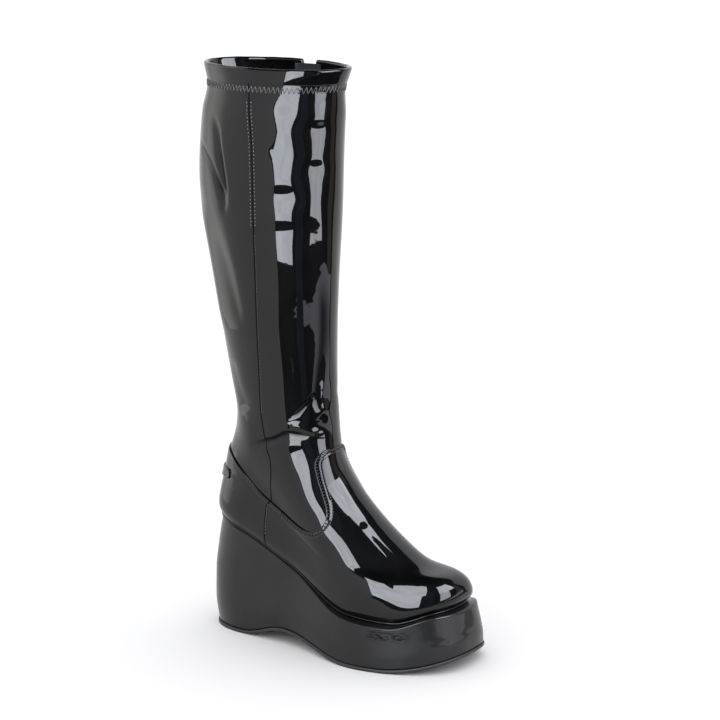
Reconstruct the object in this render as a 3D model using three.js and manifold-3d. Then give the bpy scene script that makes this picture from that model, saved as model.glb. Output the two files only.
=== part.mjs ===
// Platform boot for the right foot: a tall shaft with a side zip on a wedge platform. Millimetres,
// X towards the toe, Y towards the inner side of the foot, Z up. The origin is the middle of the
// heel's resting place on the floor, and lengths along the foot are counted from the heel's back.
import * as THREE from "three";
import { mergeVertices } from "three/addons/utils/BufferGeometryUtils.js";
import Module from "manifold-3d";

const wasm = await Module();
wasm.setup();

// Foot of the upper
const FOOT_LENGTH = 243;
const HEEL_WIDTH = 63.7;
const WAIST_WIDTH = 63.7;
const BALL_WIDTH = 87.8;
const TOE_WIDTH = 78;
const TOE_SWING = 14.3; // how far the toe turns to the inner side

// Heights above the floor
const HEEL_HEIGHT = 101.2; // top of the wedge at the back of the heel
const PLATFORM_HEIGHT = 41.9; // top of the platform at the ball of the foot
const ANKLE_HEIGHT = 207;
const BOOT_HEIGHT = 497;

// Shaft
const CALF_DEPTH = 134.4; // front to back at the widest place
const CALF_WIDTH = 97;
const ANKLE_SLANT = 11; // the ankle ring stands this much higher at its back and lower at its front

// Sole
const LEDGE = 10.4; // how far the platform stands out from the upper at the ball
const OUTSOLE_THICKNESS = 3;
const OUTSOLE_LIP = 0.8;
const ARCH_HEIGHT = 11;
const TOE_SPRING = 12;
const EDGE_DROP = 5; // height of the platform's rounded top edge

// Walls and layers
const WALL = 1.8; // patent leather and its lining
const OVERLAY = 1; // galosh of the foot, laid over the upper
const RAND_THICKNESS = 1.4;
const RAND_PROUD = 0.4;
const INSOLE_THICKNESS = 3;
const COLLAR_HEIGHT = 13;
const COLLAR_THICKNESS = 0.9;
const HEEL_TAB_THICKNESS = 1.3;
const GAP = 0.3;

// Zip on the inner side
const ZIP_TAPE_WIDTH = 9;
const ZIP_COIL_WIDTH = 4.4;
const ZIP_COIL_HEIGHT = 0.9;
const ZIP_GROOVE = 0.8; // depth of the groove in the wall that holds the tape
const ZIP_TAPE_THICKNESS = 0.6;
const GUARD_WIDTH = 28;
const GUARD_THICKNESS = 1;
const NOTCH_WIDTH = 12;
const NOTCH_DEPTH = 15;
const SLIDER_WIDTH = 8.4;
const SLIDER_LENGTH = 11;
const SLIDER_THICKNESS = 2.4;
const BRIDGE_WIDTH = 2.2;
const BRIDGE_BAR = 1.2;
const PULL_LENGTH = 30;
const PULL_WIDTH = 7;
const PULL_THICKNESS = 1.4;
const PULL_PLAY = 0.6; // clearance of the pull's bar in the slider's bridge

const AROUND = 44; // corners of one ring, an even number

// Where the heel and the forefoot touch the floor, as shares of the foot's length
const CONTACT = { heelEnd: 0.175, archTop: 0.368, ballStart: 0.69, ballEnd: 0.792 };
const HEEL_REST = 0.107;

// The line where the upper meets the sole, in side view: at is a share of the foot's length,
// rise a share of the drop from the heel to the platform.
const FEATHER_LINE = [
  { at: -0.1, rise: 1.03 },
  { at: 0.025, rise: 1 },
  { at: 0.148, rise: 0.907 },
  { at: 0.398, rise: 0.481 },
  { at: 0.659, rise: 0 },
  { at: 0.824, rise: -0.042 },
  { at: 0.979, rise: 0.133 },
  { at: 1.1, rise: 0.15 },
];

// Tilted rings of the foot, from the sole up. back and front are shares of the foot's length,
// backRise and frontRise shares of the climb from the sole to the ankle ring, heel to toe shares of
// half the named widths, the zones are the rounded stretches at each end as shares of the ring,
// the powers say how square they are, and follow says how much a ring bends with the feather line.
const FOOT_RINGS = [
  { back: 0.0276, front: 0.9745, backRise: 0, frontRise: 0, heel: 0.946, waist: 0.946, ball: 0.963,
    toe: 0.984, backZone: 0.16, frontZone: 0.26, backPower: 2.2, frontPower: 2.65, follow: 1 },
  { back: 0.0144, front: 0.9963, backRise: 0.092, frontRise: 0.061, heel: 1, waist: 1, ball: 1,
    toe: 1, backZone: 0.16, frontZone: 0.26, backPower: 2.2, frontPower: 2.65, follow: 0.95 },
  { back: 0.0218, front: 0.9897, backRise: 0.195, frontRise: 0.122, heel: 0.986, waist: 0.986,
    ball: 0.987, toe: 0.961, backZone: 0.17, frontZone: 0.28, backPower: 2.2, frontPower: 2.54,
    follow: 0.85 },
  { back: 0.0329, front: 0.952, backRise: 0.298, frontRise: 0.176, heel: 0.948, waist: 0.979,
    ball: 0.934, toe: 0.88, backZone: 0.18, frontZone: 0.32, backPower: 2.2, frontPower: 2.44,
    follow: 0.72 },
  { back: 0.042, front: 0.8626, backRise: 0.392, frontRise: 0.198, heel: 0.948, waist: 0.979,
    ball: 0.889, toe: 0.85, backZone: 0.2, frontZone: 0.31, backPower: 2.1, frontPower: 2.3,
    follow: 0.58 },
  { back: 0.0506, front: 0.7597, backRise: 0.486, frontRise: 0.308, heel: 0.919, waist: 0.981,
    ball: 0.8465, toe: 0.826, backZone: 0.22, frontZone: 0.32, backPower: 2.1, frontPower: 2.2,
    follow: 0.45 },
  { back: 0.0675, front: 0.6565, backRise: 0.589, frontRise: 0.454, heel: 0.935, waist: 1.028,
    ball: 0.813, toe: 0.814, backZone: 0.25, frontZone: 0.36, backPower: 2, frontPower: 2.1,
    follow: 0.32 },
  { back: 0.0881, front: 0.5645, backRise: 0.709, frontRise: 0.617, heel: 0.989, waist: 1.082,
    ball: 0.807, toe: 0.833, backZone: 0.3, frontZone: 0.4, backPower: 2, frontPower: 2,
    follow: 0.2 },
  { back: 0.0979, front: 0.501, backRise: 0.846, frontRise: 0.8, heel: 1.054, waist: 1.116,
    ball: 0.81, toe: 0.861, backZone: 0.36, frontZone: 0.45, backPower: 2, frontPower: 2,
    follow: 0.1 },
];

// Rings of the shaft from the ankle to the collar, each an ellipse. centre is a share of the foot's
// length, rise of the shaft's height, depth and width of the calf's, and slant of the ankle's.
const SHAFT_RINGS = [
  { rise: 0, centre: 0.2833, depth: 0.735, width: 0.757, slant: 1, follow: 0.03 },
  { rise: 0.093, centre: 0.2687, depth: 0.758, width: 0.772, slant: 0.55, follow: 0 },
  { rise: 0.245, centre: 0.2533, depth: 0.807, width: 0.838, slant: 0.23, follow: 0 },
  { rise: 0.426, centre: 0.2404, depth: 0.889, width: 0.922, slant: 0.09, follow: 0 },
  { rise: 0.657, centre: 0.2218, depth: 1, width: 1, slant: 0, follow: 0 },
  { rise: 0.815, centre: 0.2305, depth: 0.992, width: 0.993, slant: 0, follow: 0 },
  { rise: 0.948, centre: 0.2507, depth: 0.977, width: 0.96, slant: 0.05, follow: 0 },
  { rise: 1, centre: 0.2547, depth: 1.01, width: 0.915, slant: 0.06, follow: 0 },
];
const SHAFT_ZONE = 0.5;
const ELLIPSE_POWER = 2;

// Loops of the wedge from its underside to its top edge. height is a share of the wedge's thickness
// at each place, and the other columns say how far the loop stands out from the upper's widest
// ring, as shares of the ledge.
const SOLE_LOOPS = [
  { height: 0, back: 0.25, front: 0.7, heel: 0.04, waist: 0.3, ball: 1, toe: 0.84 },
  { height: 0.25, back: 0.49, front: 0.9, heel: 0.22, waist: 0.4, ball: 1, toe: 0.84 },
  { height: 0.5, back: 0.47, front: 0.73, heel: 0.13, waist: 0.3, ball: 0.89, toe: 0.73 },
  { height: 0.75, back: 0.19, front: 0.5, heel: 0.04, waist: 0.21, ball: 0.79, toe: 0.73 },
  { height: 1, back: -0.27, front: 0.23, heel: 0.04, waist: 0.11, ball: 0.68, toe: 0.63 },
];

// Places of the half widths along a ring, as shares of its length
const WIDTH_STATIONS = { heel: 0.1, waist: 0.36, ball: 0.7, toe: 0.93 };

// Top edge of the galosh in side view, with its notch behind the instep: at is a share of the
// foot's length, up a share of the ankle's height.
const GALOSH_EDGE = [
  { at: -0.12, up: 0.81 },
  { at: 0.058, up: 0.79 },
  { at: 0.16, up: 0.728 },
  { at: 0.251, up: 0.643 },
  { at: 0.338, up: 0.586 },
  { at: 0.429, up: 0.534 },
  { at: 0.486, up: 0.518 },
  { at: 0.523, up: 0.529 },
  { at: 0.5415, up: 0.565 },
  { at: 0.533, up: 0.611 },
  { at: 0.511, up: 0.662 },
  { at: 0.4835, up: 0.725 },
  { at: 0.466, up: 0.785 },
  { at: 0.4755, up: 0.826 },
  { at: 0.502, up: 0.843 },
  { at: 0.62, up: 0.85 },
];
const GALOSH_STEPS = 36;

// Outline of the tab on the back of the heel in side view, in the same shares
const HEEL_TAB_OUTLINE = [
  { at: -0.1, up: 0.698 },
  { at: 0.037, up: 0.698 },
  { at: 0.084, up: 0.7 },
  { at: 0.119, up: 0.689 },
  { at: 0.113, up: 0.655 },
  { at: 0.074, up: 0.658 },
  { at: 0.037, up: 0.659 },
  { at: -0.1, up: 0.659 },
];

// The zip's line in side view runs straight from the collar to just above the sole.
const ZIP_TOP = 0.265; // share of the foot's length
const ZIP_FOOT = 0.29;
const ZIP_CLEAR_OF_SOLE = 8;

// Worked out from the sizes above
const RAND_LIFT = GAP + RAND_THICKNESS + GAP; // the upper's lower edge above the sole
const COLLAR_LIFT = GAP + COLLAR_THICKNESS; // the collar's rim above the upper's upper edge
const UPPER_TOP = BOOT_HEIGHT - COLLAR_LIFT;
const OVERLAY_OUT = GAP + OVERLAY;
const BIG = 4 * FOOT_LENGTH;

// Monotone cubic through rows of (x, y), flat beyond its ends.
function smoothCurve(xs, ys) {
  const last = xs.length - 1;
  const slopes = xs.slice(1).map((x, i) => (ys[i + 1] - ys[i]) / (x - xs[i]));
  const tangents = xs.map((x, i) => {
    if (i === 0) return slopes[0];
    if (i === last) return slopes[last - 1];
    if (slopes[i - 1] * slopes[i] <= 0) return 0;
    return 2 / (1 / slopes[i - 1] + 1 / slopes[i]);
  });
  return (x) => {
    if (x <= xs[0]) return ys[0];
    if (x >= xs[last]) return ys[last];
    let i = 0;
    while (x > xs[i + 1]) i += 1;
    const span = xs[i + 1] - xs[i];
    const t = (x - xs[i]) / span;
    const start = (1 + 2 * t) * (1 - t) ** 2 * ys[i] + t * (1 - t) ** 2 * span * tangents[i];
    const end = t * t * (3 - 2 * t) * ys[i + 1] + t * t * (t - 1) * span * tangents[i + 1];
    return start + end;
  };
}

const featherRise = smoothCurve(
  FEATHER_LINE.map((row) => row.at * FOOT_LENGTH),
  FEATHER_LINE.map((row) => row.rise),
);

// Height of the sole's top at a place along the foot
function featherHeight(x) {
  return PLATFORM_HEIGHT + (HEEL_HEIGHT - PLATFORM_HEIGHT) * featherRise(x);
}

// Height of the sole's underside: flat heel, arch, flat forefoot and toe spring
function undersideHeight(x) {
  const share = x / FOOT_LENGTH;
  if (share < CONTACT.heelEnd) return 0;
  if (share < CONTACT.archTop) {
    const climb = (share - CONTACT.heelEnd) / (CONTACT.archTop - CONTACT.heelEnd);
    return (ARCH_HEIGHT * (1 - Math.cos(Math.PI * climb))) / 2;
  }
  if (share < CONTACT.ballStart) {
    const fall = (share - CONTACT.archTop) / (CONTACT.ballStart - CONTACT.archTop);
    return ARCH_HEIGHT * (1 - fall) ** 2 * (1 + 2 * fall);
  }
  const spring = Math.max(0, (share - CONTACT.ballEnd) / (1 + LEDGE / FOOT_LENGTH - CONTACT.ballEnd));
  return TOE_SPRING * spring ** 2;
}

// All rings of the upper in millimetres, from the sole to the collar
const ankleBack = ANKLE_HEIGHT + ANKLE_SLANT;
const ankleFront = ANKLE_HEIGHT - ANKLE_SLANT;
const toeEdge = featherHeight(FOOT_RINGS[0].front * FOOT_LENGTH);
const footRings = FOOT_RINGS.map((row) => ({
  ...row,
  backX: row.back * FOOT_LENGTH,
  frontX: row.front * FOOT_LENGTH,
  backZ: HEEL_HEIGHT + row.backRise * (ankleBack - HEEL_HEIGHT),
  frontZ: toeEdge + row.frontRise * (ankleFront - toeEdge),
  heel: (row.heel * HEEL_WIDTH) / 2,
  waist: (row.waist * WAIST_WIDTH) / 2,
  ball: (row.ball * BALL_WIDTH) / 2,
  toe: (row.toe * TOE_WIDTH) / 2,
}));
const shaftRings = SHAFT_RINGS.map((row) => {
  const middle = ANKLE_HEIGHT + row.rise * (UPPER_TOP - ANKLE_HEIGHT);
  const halfWidth = (row.width * CALF_WIDTH) / 2;
  return {
    backX: row.centre * FOOT_LENGTH - (row.depth * CALF_DEPTH) / 2,
    frontX: row.centre * FOOT_LENGTH + (row.depth * CALF_DEPTH) / 2,
    backZ: middle + row.slant * ANKLE_SLANT,
    frontZ: middle - row.slant * ANKLE_SLANT,
    heel: halfWidth,
    waist: halfWidth,
    ball: halfWidth,
    toe: halfWidth,
    backZone: SHAFT_ZONE,
    frontZone: SHAFT_ZONE,
    backPower: ELLIPSE_POWER,
    frontPower: ELLIPSE_POWER,
    follow: row.follow,
  };
});
const rings = [...footRings, ...shaftRings];
const TOP_RING = rings.length - 1;
const ringNumbers = rings.map((row, i) => i);
const columns = {};
for (const name of Object.keys(shaftRings[0])) {
  columns[name] = smoothCurve(ringNumbers, rings.map((row) => row[name]));
}

// Rounding of a ring's two ends: 1 in the middle, 0 at the tips
function endRound(s, row) {
  if (s < row.backZone) {
    return Math.max(0, 1 - (1 - s / row.backZone) ** row.backPower) ** (1 / row.backPower);
  }
  if (s > 1 - row.frontZone) {
    const out = (s - 1 + row.frontZone) / row.frontZone;
    return Math.max(0, 1 - out ** row.frontPower) ** (1 / row.frontPower);
  }
  return 1;
}

// Half width of a ring at a share s of its length
function halfWidth(s, row) {
  const at = [WIDTH_STATIONS.heel, WIDTH_STATIONS.waist, WIDTH_STATIONS.ball, WIDTH_STATIONS.toe];
  return smoothCurve(at, [row.heel, row.waist, row.ball, row.toe])(s) * endRound(s, row);
}

// Middle line of the foot, which turns to the inner side towards the toe
function middleLine(x) {
  const start = 0.37 * FOOT_LENGTH;
  const along = Math.max(0, (x - start) / (FOOT_LENGTH - start));
  return TOE_SWING * Math.min(1, along) ** 2;
}

// Point of a flat-topped loop: turn runs from the heel's tip round the outer side to the toe
// and back along the inner side.
function loopPoint(row, turn) {
  const s = (1 - Math.cos(turn)) / 2;
  const x = row.backX + (row.frontX - row.backX) * s;
  const side = Math.sin(turn) >= 0 ? -1 : 1;
  return { s, x, y: middleLine(x) + side * halfWidth(s, row) };
}

// Point of the upper's outer face at ring number v
function skinPoint(v, turn) {
  const row = {};
  for (const name of Object.keys(columns)) row[name] = columns[name](v);
  const { s, x, y } = loopPoint(row, turn);
  const first = rings[0];
  const straight = row.backZ + (row.frontZ - row.backZ) * s;
  const footX = first.backX + (first.frontX - first.backX) * s;
  const chord = featherHeight(first.backX) * (1 - s) + featherHeight(first.frontX) * s;
  const bend = row.follow * (featherHeight(footX) - chord);
  const lift = RAND_LIFT * Math.max(0, 1 - v);
  return new THREE.Vector3(x, y, straight + bend + lift);
}

// Point of the upper moved out along its normal. At the lower edge the normal is level, so that
// the edge stays on the sole.
function skin(v, turn, out) {
  const point = skinPoint(v, turn);
  const small = 0.01;
  const low = Math.max(0, v - small);
  const high = Math.min(TOP_RING, v + small);
  const along = skinPoint(v, turn + small).sub(skinPoint(v, turn - small));
  const upward = skinPoint(high, turn).sub(skinPoint(low, turn));
  const normal = along.cross(upward);
  normal.z *= Math.min(1, v);
  normal.normalize();
  point.addScaledVector(normal, out);
  if (v === 0) point.z = featherHeight(point.x) + RAND_LIFT;
  return point;
}

const turns = Array.from({ length: AROUND }, (_, i) => (2 * Math.PI * i) / AROUND);

function skinRing(v, out) {
  return turns.map((turn) => skin(v, turn, out));
}

// Closed mesh from numbered corners, with its faces turned outwards
function meshFrom(points, faces) {
  let volume = 0;
  for (const [a, b, c] of faces) {
    volume += points[a].dot(new THREE.Vector3().crossVectors(points[b], points[c]));
  }
  const order = volume > 0 ? faces : faces.map(([a, b, c]) => [a, c, b]);
  const geometry = new THREE.BufferGeometry().setFromPoints(points);
  geometry.setIndex(order.flat());
  return geometry;
}

// Faces between two loops of n corners that start at the numbers a and b. Their diagonals lean one
// way from the lower loop to the upper one, so that layers laid over each other stay parallel.
function wallFaces(a, b, n, downwards) {
  const faces = [];
  for (let i = 0; i < n; i += 1) {
    const next = (i + 1) % n;
    if (downwards) faces.push([a + i, a + next, b + i], [a + next, b + next, b + i]);
    else faces.push([a + i, a + next, b + next], [a + i, b + next, b + i]);
  }
  return faces;
}

// Ring-shaped solid of loops that go up one face and down another; the last loop joins the first
function ringSolid(upLoops, downLoops) {
  const loops = [...upLoops, ...downLoops];
  const n = loops[0].length;
  const faces = [];
  loops.forEach((loop, k) => {
    const downwards = k >= upLoops.length;
    faces.push(...wallFaces(k * n, ((k + 1) % loops.length) * n, n, downwards));
  });
  return meshFrom(loops.flat(), faces);
}

// Faces that close a loop by rungs from its outer side to its inner side
function rungFaces(start, n, flip) {
  const faces = [[start, start + 1, start + n - 1]];
  for (let i = 1; i < n / 2 - 1; i += 1) {
    const near = start + i;
    const far = start + n - i;
    faces.push([near, near + 1, far - 1], [near, far - 1, far]);
  }
  faces.push([start + n / 2 - 1, start + n / 2, start + n / 2 + 1]);
  return flip ? faces.map(([a, b, c]) => [a, c, b]) : faces;
}

// Stack of loops closed at both ends
function stackSolid(loops) {
  const n = loops[0].length;
  const faces = rungFaces(0, n, true);
  for (let k = 0; k < loops.length - 1; k += 1) faces.push(...wallFaces(k * n, (k + 1) * n, n, false));
  faces.push(...rungFaces((loops.length - 1) * n, n, false));
  return meshFrom(loops.flat(), faces);
}

// Joins and cuts
function solidOf(geometry) {
  const bare = geometry.clone();
  bare.deleteAttribute("normal");
  bare.deleteAttribute("uv");
  const merged = mergeVertices(bare, 1e-4);
  return new wasm.Manifold(
    new wasm.Mesh({
      numProp: 3,
      vertProperties: new Float32Array(merged.attributes.position.array),
      triVerts: new Uint32Array(merged.index.array),
    }),
  );
}

function geometryOf(solid) {
  const { vertProperties, triVerts } = solid.getMesh();
  const geometry = new THREE.BufferGeometry();
  geometry.setAttribute("position", new THREE.BufferAttribute(vertProperties, 3));
  geometry.setIndex(new THREE.BufferAttribute(triVerts, 1));
  return geometry;
}

// Upright slab with an outline drawn in side view, from one width to another
function sideSlab(outline, fromY, toY) {
  const shape = new THREE.Shape(outline.map(([x, z]) => new THREE.Vector2(x, z)));
  const slab = new THREE.ExtrudeGeometry(shape, { depth: toY - fromY, bevelEnabled: false });
  slab.rotateX(Math.PI / 2);
  slab.translate(0, toY, 0);
  return solidOf(slab);
}

// Ring numbers: close together where the side view bends, wider apart elsewhere
const footNumbers = [0, 0.5, 1, 2, 3, 3.5, 4, 4.5, 5, 5.5, 6, 6.5, 7, 8, 8.5];
const shaftNumbers = [9, 9.5, 10, 11, 12, 12.5, 13, 13.5, 14, 15, TOP_RING];
const allNumbers = [...footNumbers, ...shaftNumbers];

// Larger form between two distances from the upper's outer face
function shell(numbers, inner, outer) {
  const outside = numbers.map((v) => skinRing(v, outer));
  const inside = numbers.map((v) => skinRing(v, inner)).reverse();
  return ringSolid(outside, inside);
}

// The zip's middle in side view at a height
function zipX(z) {
  const share = (z - PLATFORM_HEIGHT) / (BOOT_HEIGHT - PLATFORM_HEIGHT);
  return FOOT_LENGTH * (ZIP_FOOT + (ZIP_TOP - ZIP_FOOT) * share);
}

// Slab along the zip on the inner side
function zipSlab(width, low, high) {
  const half = width / 2;
  const outline = [
    [zipX(low) - half, low],
    [zipX(low) + half, low],
    [zipX(high) + half, high],
    [zipX(high) - half, high],
  ];
  return sideSlab(outline, 0, BIG);
}

const zipLow = featherHeight(zipX(HEEL_HEIGHT)) + ZIP_CLEAR_OF_SOLE;
const zipHigh = BOOT_HEIGHT - NOTCH_DEPTH - GAP;
const grooveWidth = ZIP_TAPE_WIDTH + 2 * GAP;

// Notch in the collar above the zip
function notchSlab() {
  const low = BOOT_HEIGHT - NOTCH_DEPTH;
  const high = BOOT_HEIGHT + NOTCH_DEPTH;
  const outline = [
    [zipX(low) - ZIP_COIL_WIDTH / 2, low],
    [zipX(low) + ZIP_COIL_WIDTH / 2, low],
    [zipX(high) + NOTCH_WIDTH, high],
    [zipX(high) - NOTCH_WIDTH, high],
  ];
  return sideSlab(outline, 0, BIG);
}

// Upper: one hollow solid, open at the collar and under the foot
function upperGeometry() {
  const whole = solidOf(shell(allNumbers, -WALL, 0));
  const deep = solidOf(shell(allNumbers, -ZIP_GROOVE, WALL));
  const groove = deep.intersect(zipSlab(grooveWidth, zipLow, zipHigh));
  return geometryOf(whole.subtract(groove).subtract(notchSlab()));
}

function sideView(table) {
  return table.map((row) => [row.at * FOOT_LENGTH, row.up * ANKLE_HEIGHT]);
}

// Galosh: the patent layer over the foot, from the counter round to the instep
function galoshGeometry() {
  const layer = solidOf(shell(footNumbers, GAP, OVERLAY_OUT));
  const knots = sideView(GALOSH_EDGE).map(([x, z]) => new THREE.Vector2(x, z));
  const edge = new THREE.SplineCurve(knots).getPoints(GALOSH_STEPS).map((p) => [p.x, p.y]);
  const front = [
    [BIG, edge[edge.length - 1][1]],
    [BIG, -HEEL_HEIGHT],
    [-BIG, -HEEL_HEIGHT],
    [-BIG, edge[0][1]],
  ];
  const slot = zipSlab(grooveWidth, zipLow, ankleBack);
  return geometryOf(layer.intersect(sideSlab([...edge, ...front], -BIG, BIG)).subtract(slot));
}

// Tab on the back of the heel, a bare plate over the galosh
function heelTabGeometry() {
  const inner = OVERLAY_OUT + GAP;
  const layer = solidOf(shell(footNumbers, inner, inner + HEEL_TAB_THICKNESS));
  return geometryOf(layer.intersect(sideSlab(sideView(HEEL_TAB_OUTLINE), -BIG, BIG)));
}

// Collar: a folded hem over the upper's edge, inside and out
function collarGeometry() {
  const outer = COLLAR_LIFT;
  const inner = -WALL - COLLAR_LIFT;
  const bulge = 0.7 * COLLAR_LIFT; // the rim is this far from the wall, a little less than the sides
  const rowHeight = UPPER_TOP - shaftRings[shaftRings.length - 2].backZ;
  const low = TOP_RING - Math.min(1, COLLAR_HEIGHT / rowHeight);
  const rim = (out, height) => {
    const ring = skinRing(TOP_RING, out);
    return ring.map((p) => p.clone().setZ(p.z + height));
  };
  const channelInside = [skinRing(low, -WALL - GAP), rim(-WALL - GAP, GAP)];
  const channelOutside = [rim(GAP, GAP), skinRing(low, GAP)];
  const outside = [skinRing(low, outer), skinRing(TOP_RING, outer), rim(bulge, COLLAR_LIFT)];
  const inside = [rim(-WALL - bulge, COLLAR_LIFT), skinRing(TOP_RING, inner), skinRing(low, inner)];
  const hem = ringSolid([...outside, ...inside, ...channelInside], channelOutside);
  return geometryOf(solidOf(hem).subtract(notchSlab()));
}

// Sole
const widest = rings[1];
const soleFront = (share) => widest.frontX + share * LEDGE;

// One loop of the sole in plan, moved out by a lip
function soleOutline(loop, lip) {
  const row = {
    backX: widest.backX - loop.back * LEDGE - lip,
    frontX: soleFront(loop.front) + lip,
    heel: widest.heel + loop.heel * LEDGE + lip,
    waist: widest.waist + loop.waist * LEDGE + lip,
    ball: widest.ball + loop.ball * LEDGE + lip,
    toe: widest.toe + loop.toe * LEDGE + lip,
    backZone: widest.backZone,
    frontZone: widest.frontZone,
    backPower: widest.backPower,
    frontPower: widest.frontPower,
  };
  return turns.map((turn) => loopPoint(row, turn));
}

// Wedge and platform in one, covered in the same patent as the upper, with a rounded top edge
function wedgeGeometry() {
  const loops = SOLE_LOOPS.map((loop) =>
    soleOutline(loop, 0).map(({ x, y }) => {
      const low = undersideHeight(x) + OUTSOLE_THICKNESS + GAP;
      const high = featherHeight(x) - EDGE_DROP;
      return new THREE.Vector3(x, y, low + (high - low) * loop.height);
    }),
  );
  const edge = loops[loops.length - 1];
  const inner = skinRing(0, -WALL / 2);
  for (const angle of [30, 60, 90]) {
    const bend = THREE.MathUtils.degToRad(angle);
    loops.push(
      edge.map((corner, i) => {
        const flat = corner.clone().lerp(inner[i], 1 - Math.cos(bend));
        flat.z = featherHeight(flat.x) - EDGE_DROP * (1 - Math.sin(bend));
        return flat;
      }),
    );
  }
  return stackSolid(loops);
}

// Outsole: a rubber sheet that follows the underside, with a small lip
function outsoleGeometry() {
  const outline = soleOutline(SOLE_LOOPS[0], OUTSOLE_LIP);
  const level = (rise) => outline.map(({ x, y }) => new THREE.Vector3(x, y, undersideHeight(x) + rise));
  return stackSolid([level(0), level(OUTSOLE_THICKNESS)]);
}

// Rand: a thin strip between the upper's edge and the sole
function randGeometry() {
  const level = (out, rise) =>
    skinRing(0, out).map((p) => new THREE.Vector3(p.x, p.y, featherHeight(p.x) + GAP + rise));
  const edge = OVERLAY_OUT + RAND_PROUD;
  const outside = [level(edge, 0), level(edge, RAND_THICKNESS)];
  const inside = [level(-WALL, RAND_THICKNESS), level(-WALL, 0)];
  return ringSolid(outside, inside);
}

// Insole inside the upper
function insoleGeometry() {
  const level = (out, rise) =>
    skinRing(0, out).map((p) => new THREE.Vector3(p.x, p.y, featherHeight(p.x) + GAP + rise));
  const edge = -WALL - GAP;
  return stackSolid([
    level(edge, 0),
    level(edge, INSOLE_THICKNESS * 0.7),
    level(edge - INSOLE_THICKNESS * 0.3, INSOLE_THICKNESS),
  ]);
}

// Zip chain: the tape lies in the wall's groove, with the closed coil raised along its middle
function zipChainGeometry() {
  const floor = -ZIP_GROOVE + GAP;
  const top = floor + ZIP_TAPE_THICKNESS;
  const tape = solidOf(shell(allNumbers, floor, top)).intersect(
    zipSlab(ZIP_TAPE_WIDTH, zipLow + GAP, zipHigh - GAP),
  );
  const coil = solidOf(shell(allNumbers, floor + ZIP_TAPE_THICKNESS / 2, top + ZIP_COIL_HEIGHT)).intersect(
    zipSlab(ZIP_COIL_WIDTH, zipLow + GAP, zipHigh - GAP),
  );
  return geometryOf(tape.add(coil));
}

// Guard: a fabric strip behind the zip, inside the shaft
function zipGuardGeometry() {
  const outer = -WALL - GAP - COLLAR_THICKNESS - GAP;
  const numbers = allNumbers.filter((v) => v >= 2);
  const layer = solidOf(shell(numbers, outer - GUARD_THICKNESS, outer));
  return geometryOf(layer.intersect(zipSlab(GUARD_WIDTH, zipLow + GUARD_WIDTH / 2, BOOT_HEIGHT)));
}

// Ring number at which the skin passes through a point of the side view
function ringAt(x, z) {
  let low = 0;
  let high = TOP_RING;
  for (let step = 0; step < 40; step += 1) {
    const middle = (low + high) / 2;
    const back = columns.backX(middle);
    const s = (x - back) / (columns.frontX(middle) - back);
    const turn = -Math.acos(1 - 2 * Math.min(1, Math.max(0, s)));
    if (skinPoint(middle, turn).z < z) low = middle;
    else high = middle;
  }
  const back = columns.backX(low);
  const s = (x - back) / (columns.frontX(low) - back);
  return { v: low, turn: -Math.acos(1 - 2 * s) };
}

// Slider: a plate on the coil with a bridge for the pull. Its own frame has Z up the zip and
// Y away from the boot, with the origin on the plate's back face.
const bridgeInside = PULL_THICKNESS + 2 * PULL_PLAY;
const bridgeLength = SLIDER_LENGTH - BRIDGE_BAR;
const pivotOut = SLIDER_THICKNESS + bridgeInside / 2;

function sliderGeometry() {
  const half = SLIDER_WIDTH / 2;
  const long = SLIDER_LENGTH / 2;
  const outline = new THREE.Shape();
  outline.moveTo(-half * 0.6, -long);
  outline.lineTo(half * 0.6, -long);
  outline.quadraticCurveTo(half * 0.75, 0, half, long * 0.7);
  outline.quadraticCurveTo(half, long, half * 0.5, long);
  outline.lineTo(-half * 0.5, long);
  outline.quadraticCurveTo(-half, long, -half, long * 0.7);
  outline.quadraticCurveTo(-half * 0.75, 0, -half * 0.6, -long);
  const plate = new THREE.ExtrudeGeometry(outline, {
    depth: SLIDER_THICKNESS,
    bevelEnabled: false,
    curveSegments: 4,
  });
  plate.rotateX(Math.PI / 2);
  plate.translate(0, SLIDER_THICKNESS, 0);
  const root = SLIDER_THICKNESS / 2;
  const crest = SLIDER_THICKNESS + bridgeInside + BRIDGE_BAR;
  const arch = new THREE.Shape();
  arch.moveTo(-bridgeLength / 2, root);
  arch.lineTo(-bridgeLength / 2, crest - BRIDGE_BAR);
  arch.lineTo(-bridgeLength / 2 + BRIDGE_BAR, crest);
  arch.lineTo(bridgeLength / 2 - BRIDGE_BAR, crest);
  arch.lineTo(bridgeLength / 2, crest - BRIDGE_BAR);
  arch.lineTo(bridgeLength / 2, root);
  arch.lineTo(bridgeLength / 2 - BRIDGE_BAR, root);
  arch.lineTo(bridgeLength / 2 - BRIDGE_BAR, crest - BRIDGE_BAR);
  arch.lineTo(-bridgeLength / 2 + BRIDGE_BAR, crest - BRIDGE_BAR);
  arch.lineTo(-bridgeLength / 2 + BRIDGE_BAR, root);
  const bridge = new THREE.ExtrudeGeometry(arch, { depth: BRIDGE_WIDTH, bevelEnabled: false });
  bridge.translate(0, 0, -BRIDGE_WIDTH / 2);
  bridge.rotateY(-Math.PI / 2);
  return geometryOf(solidOf(plate).add(solidOf(bridge)));
}

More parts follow.
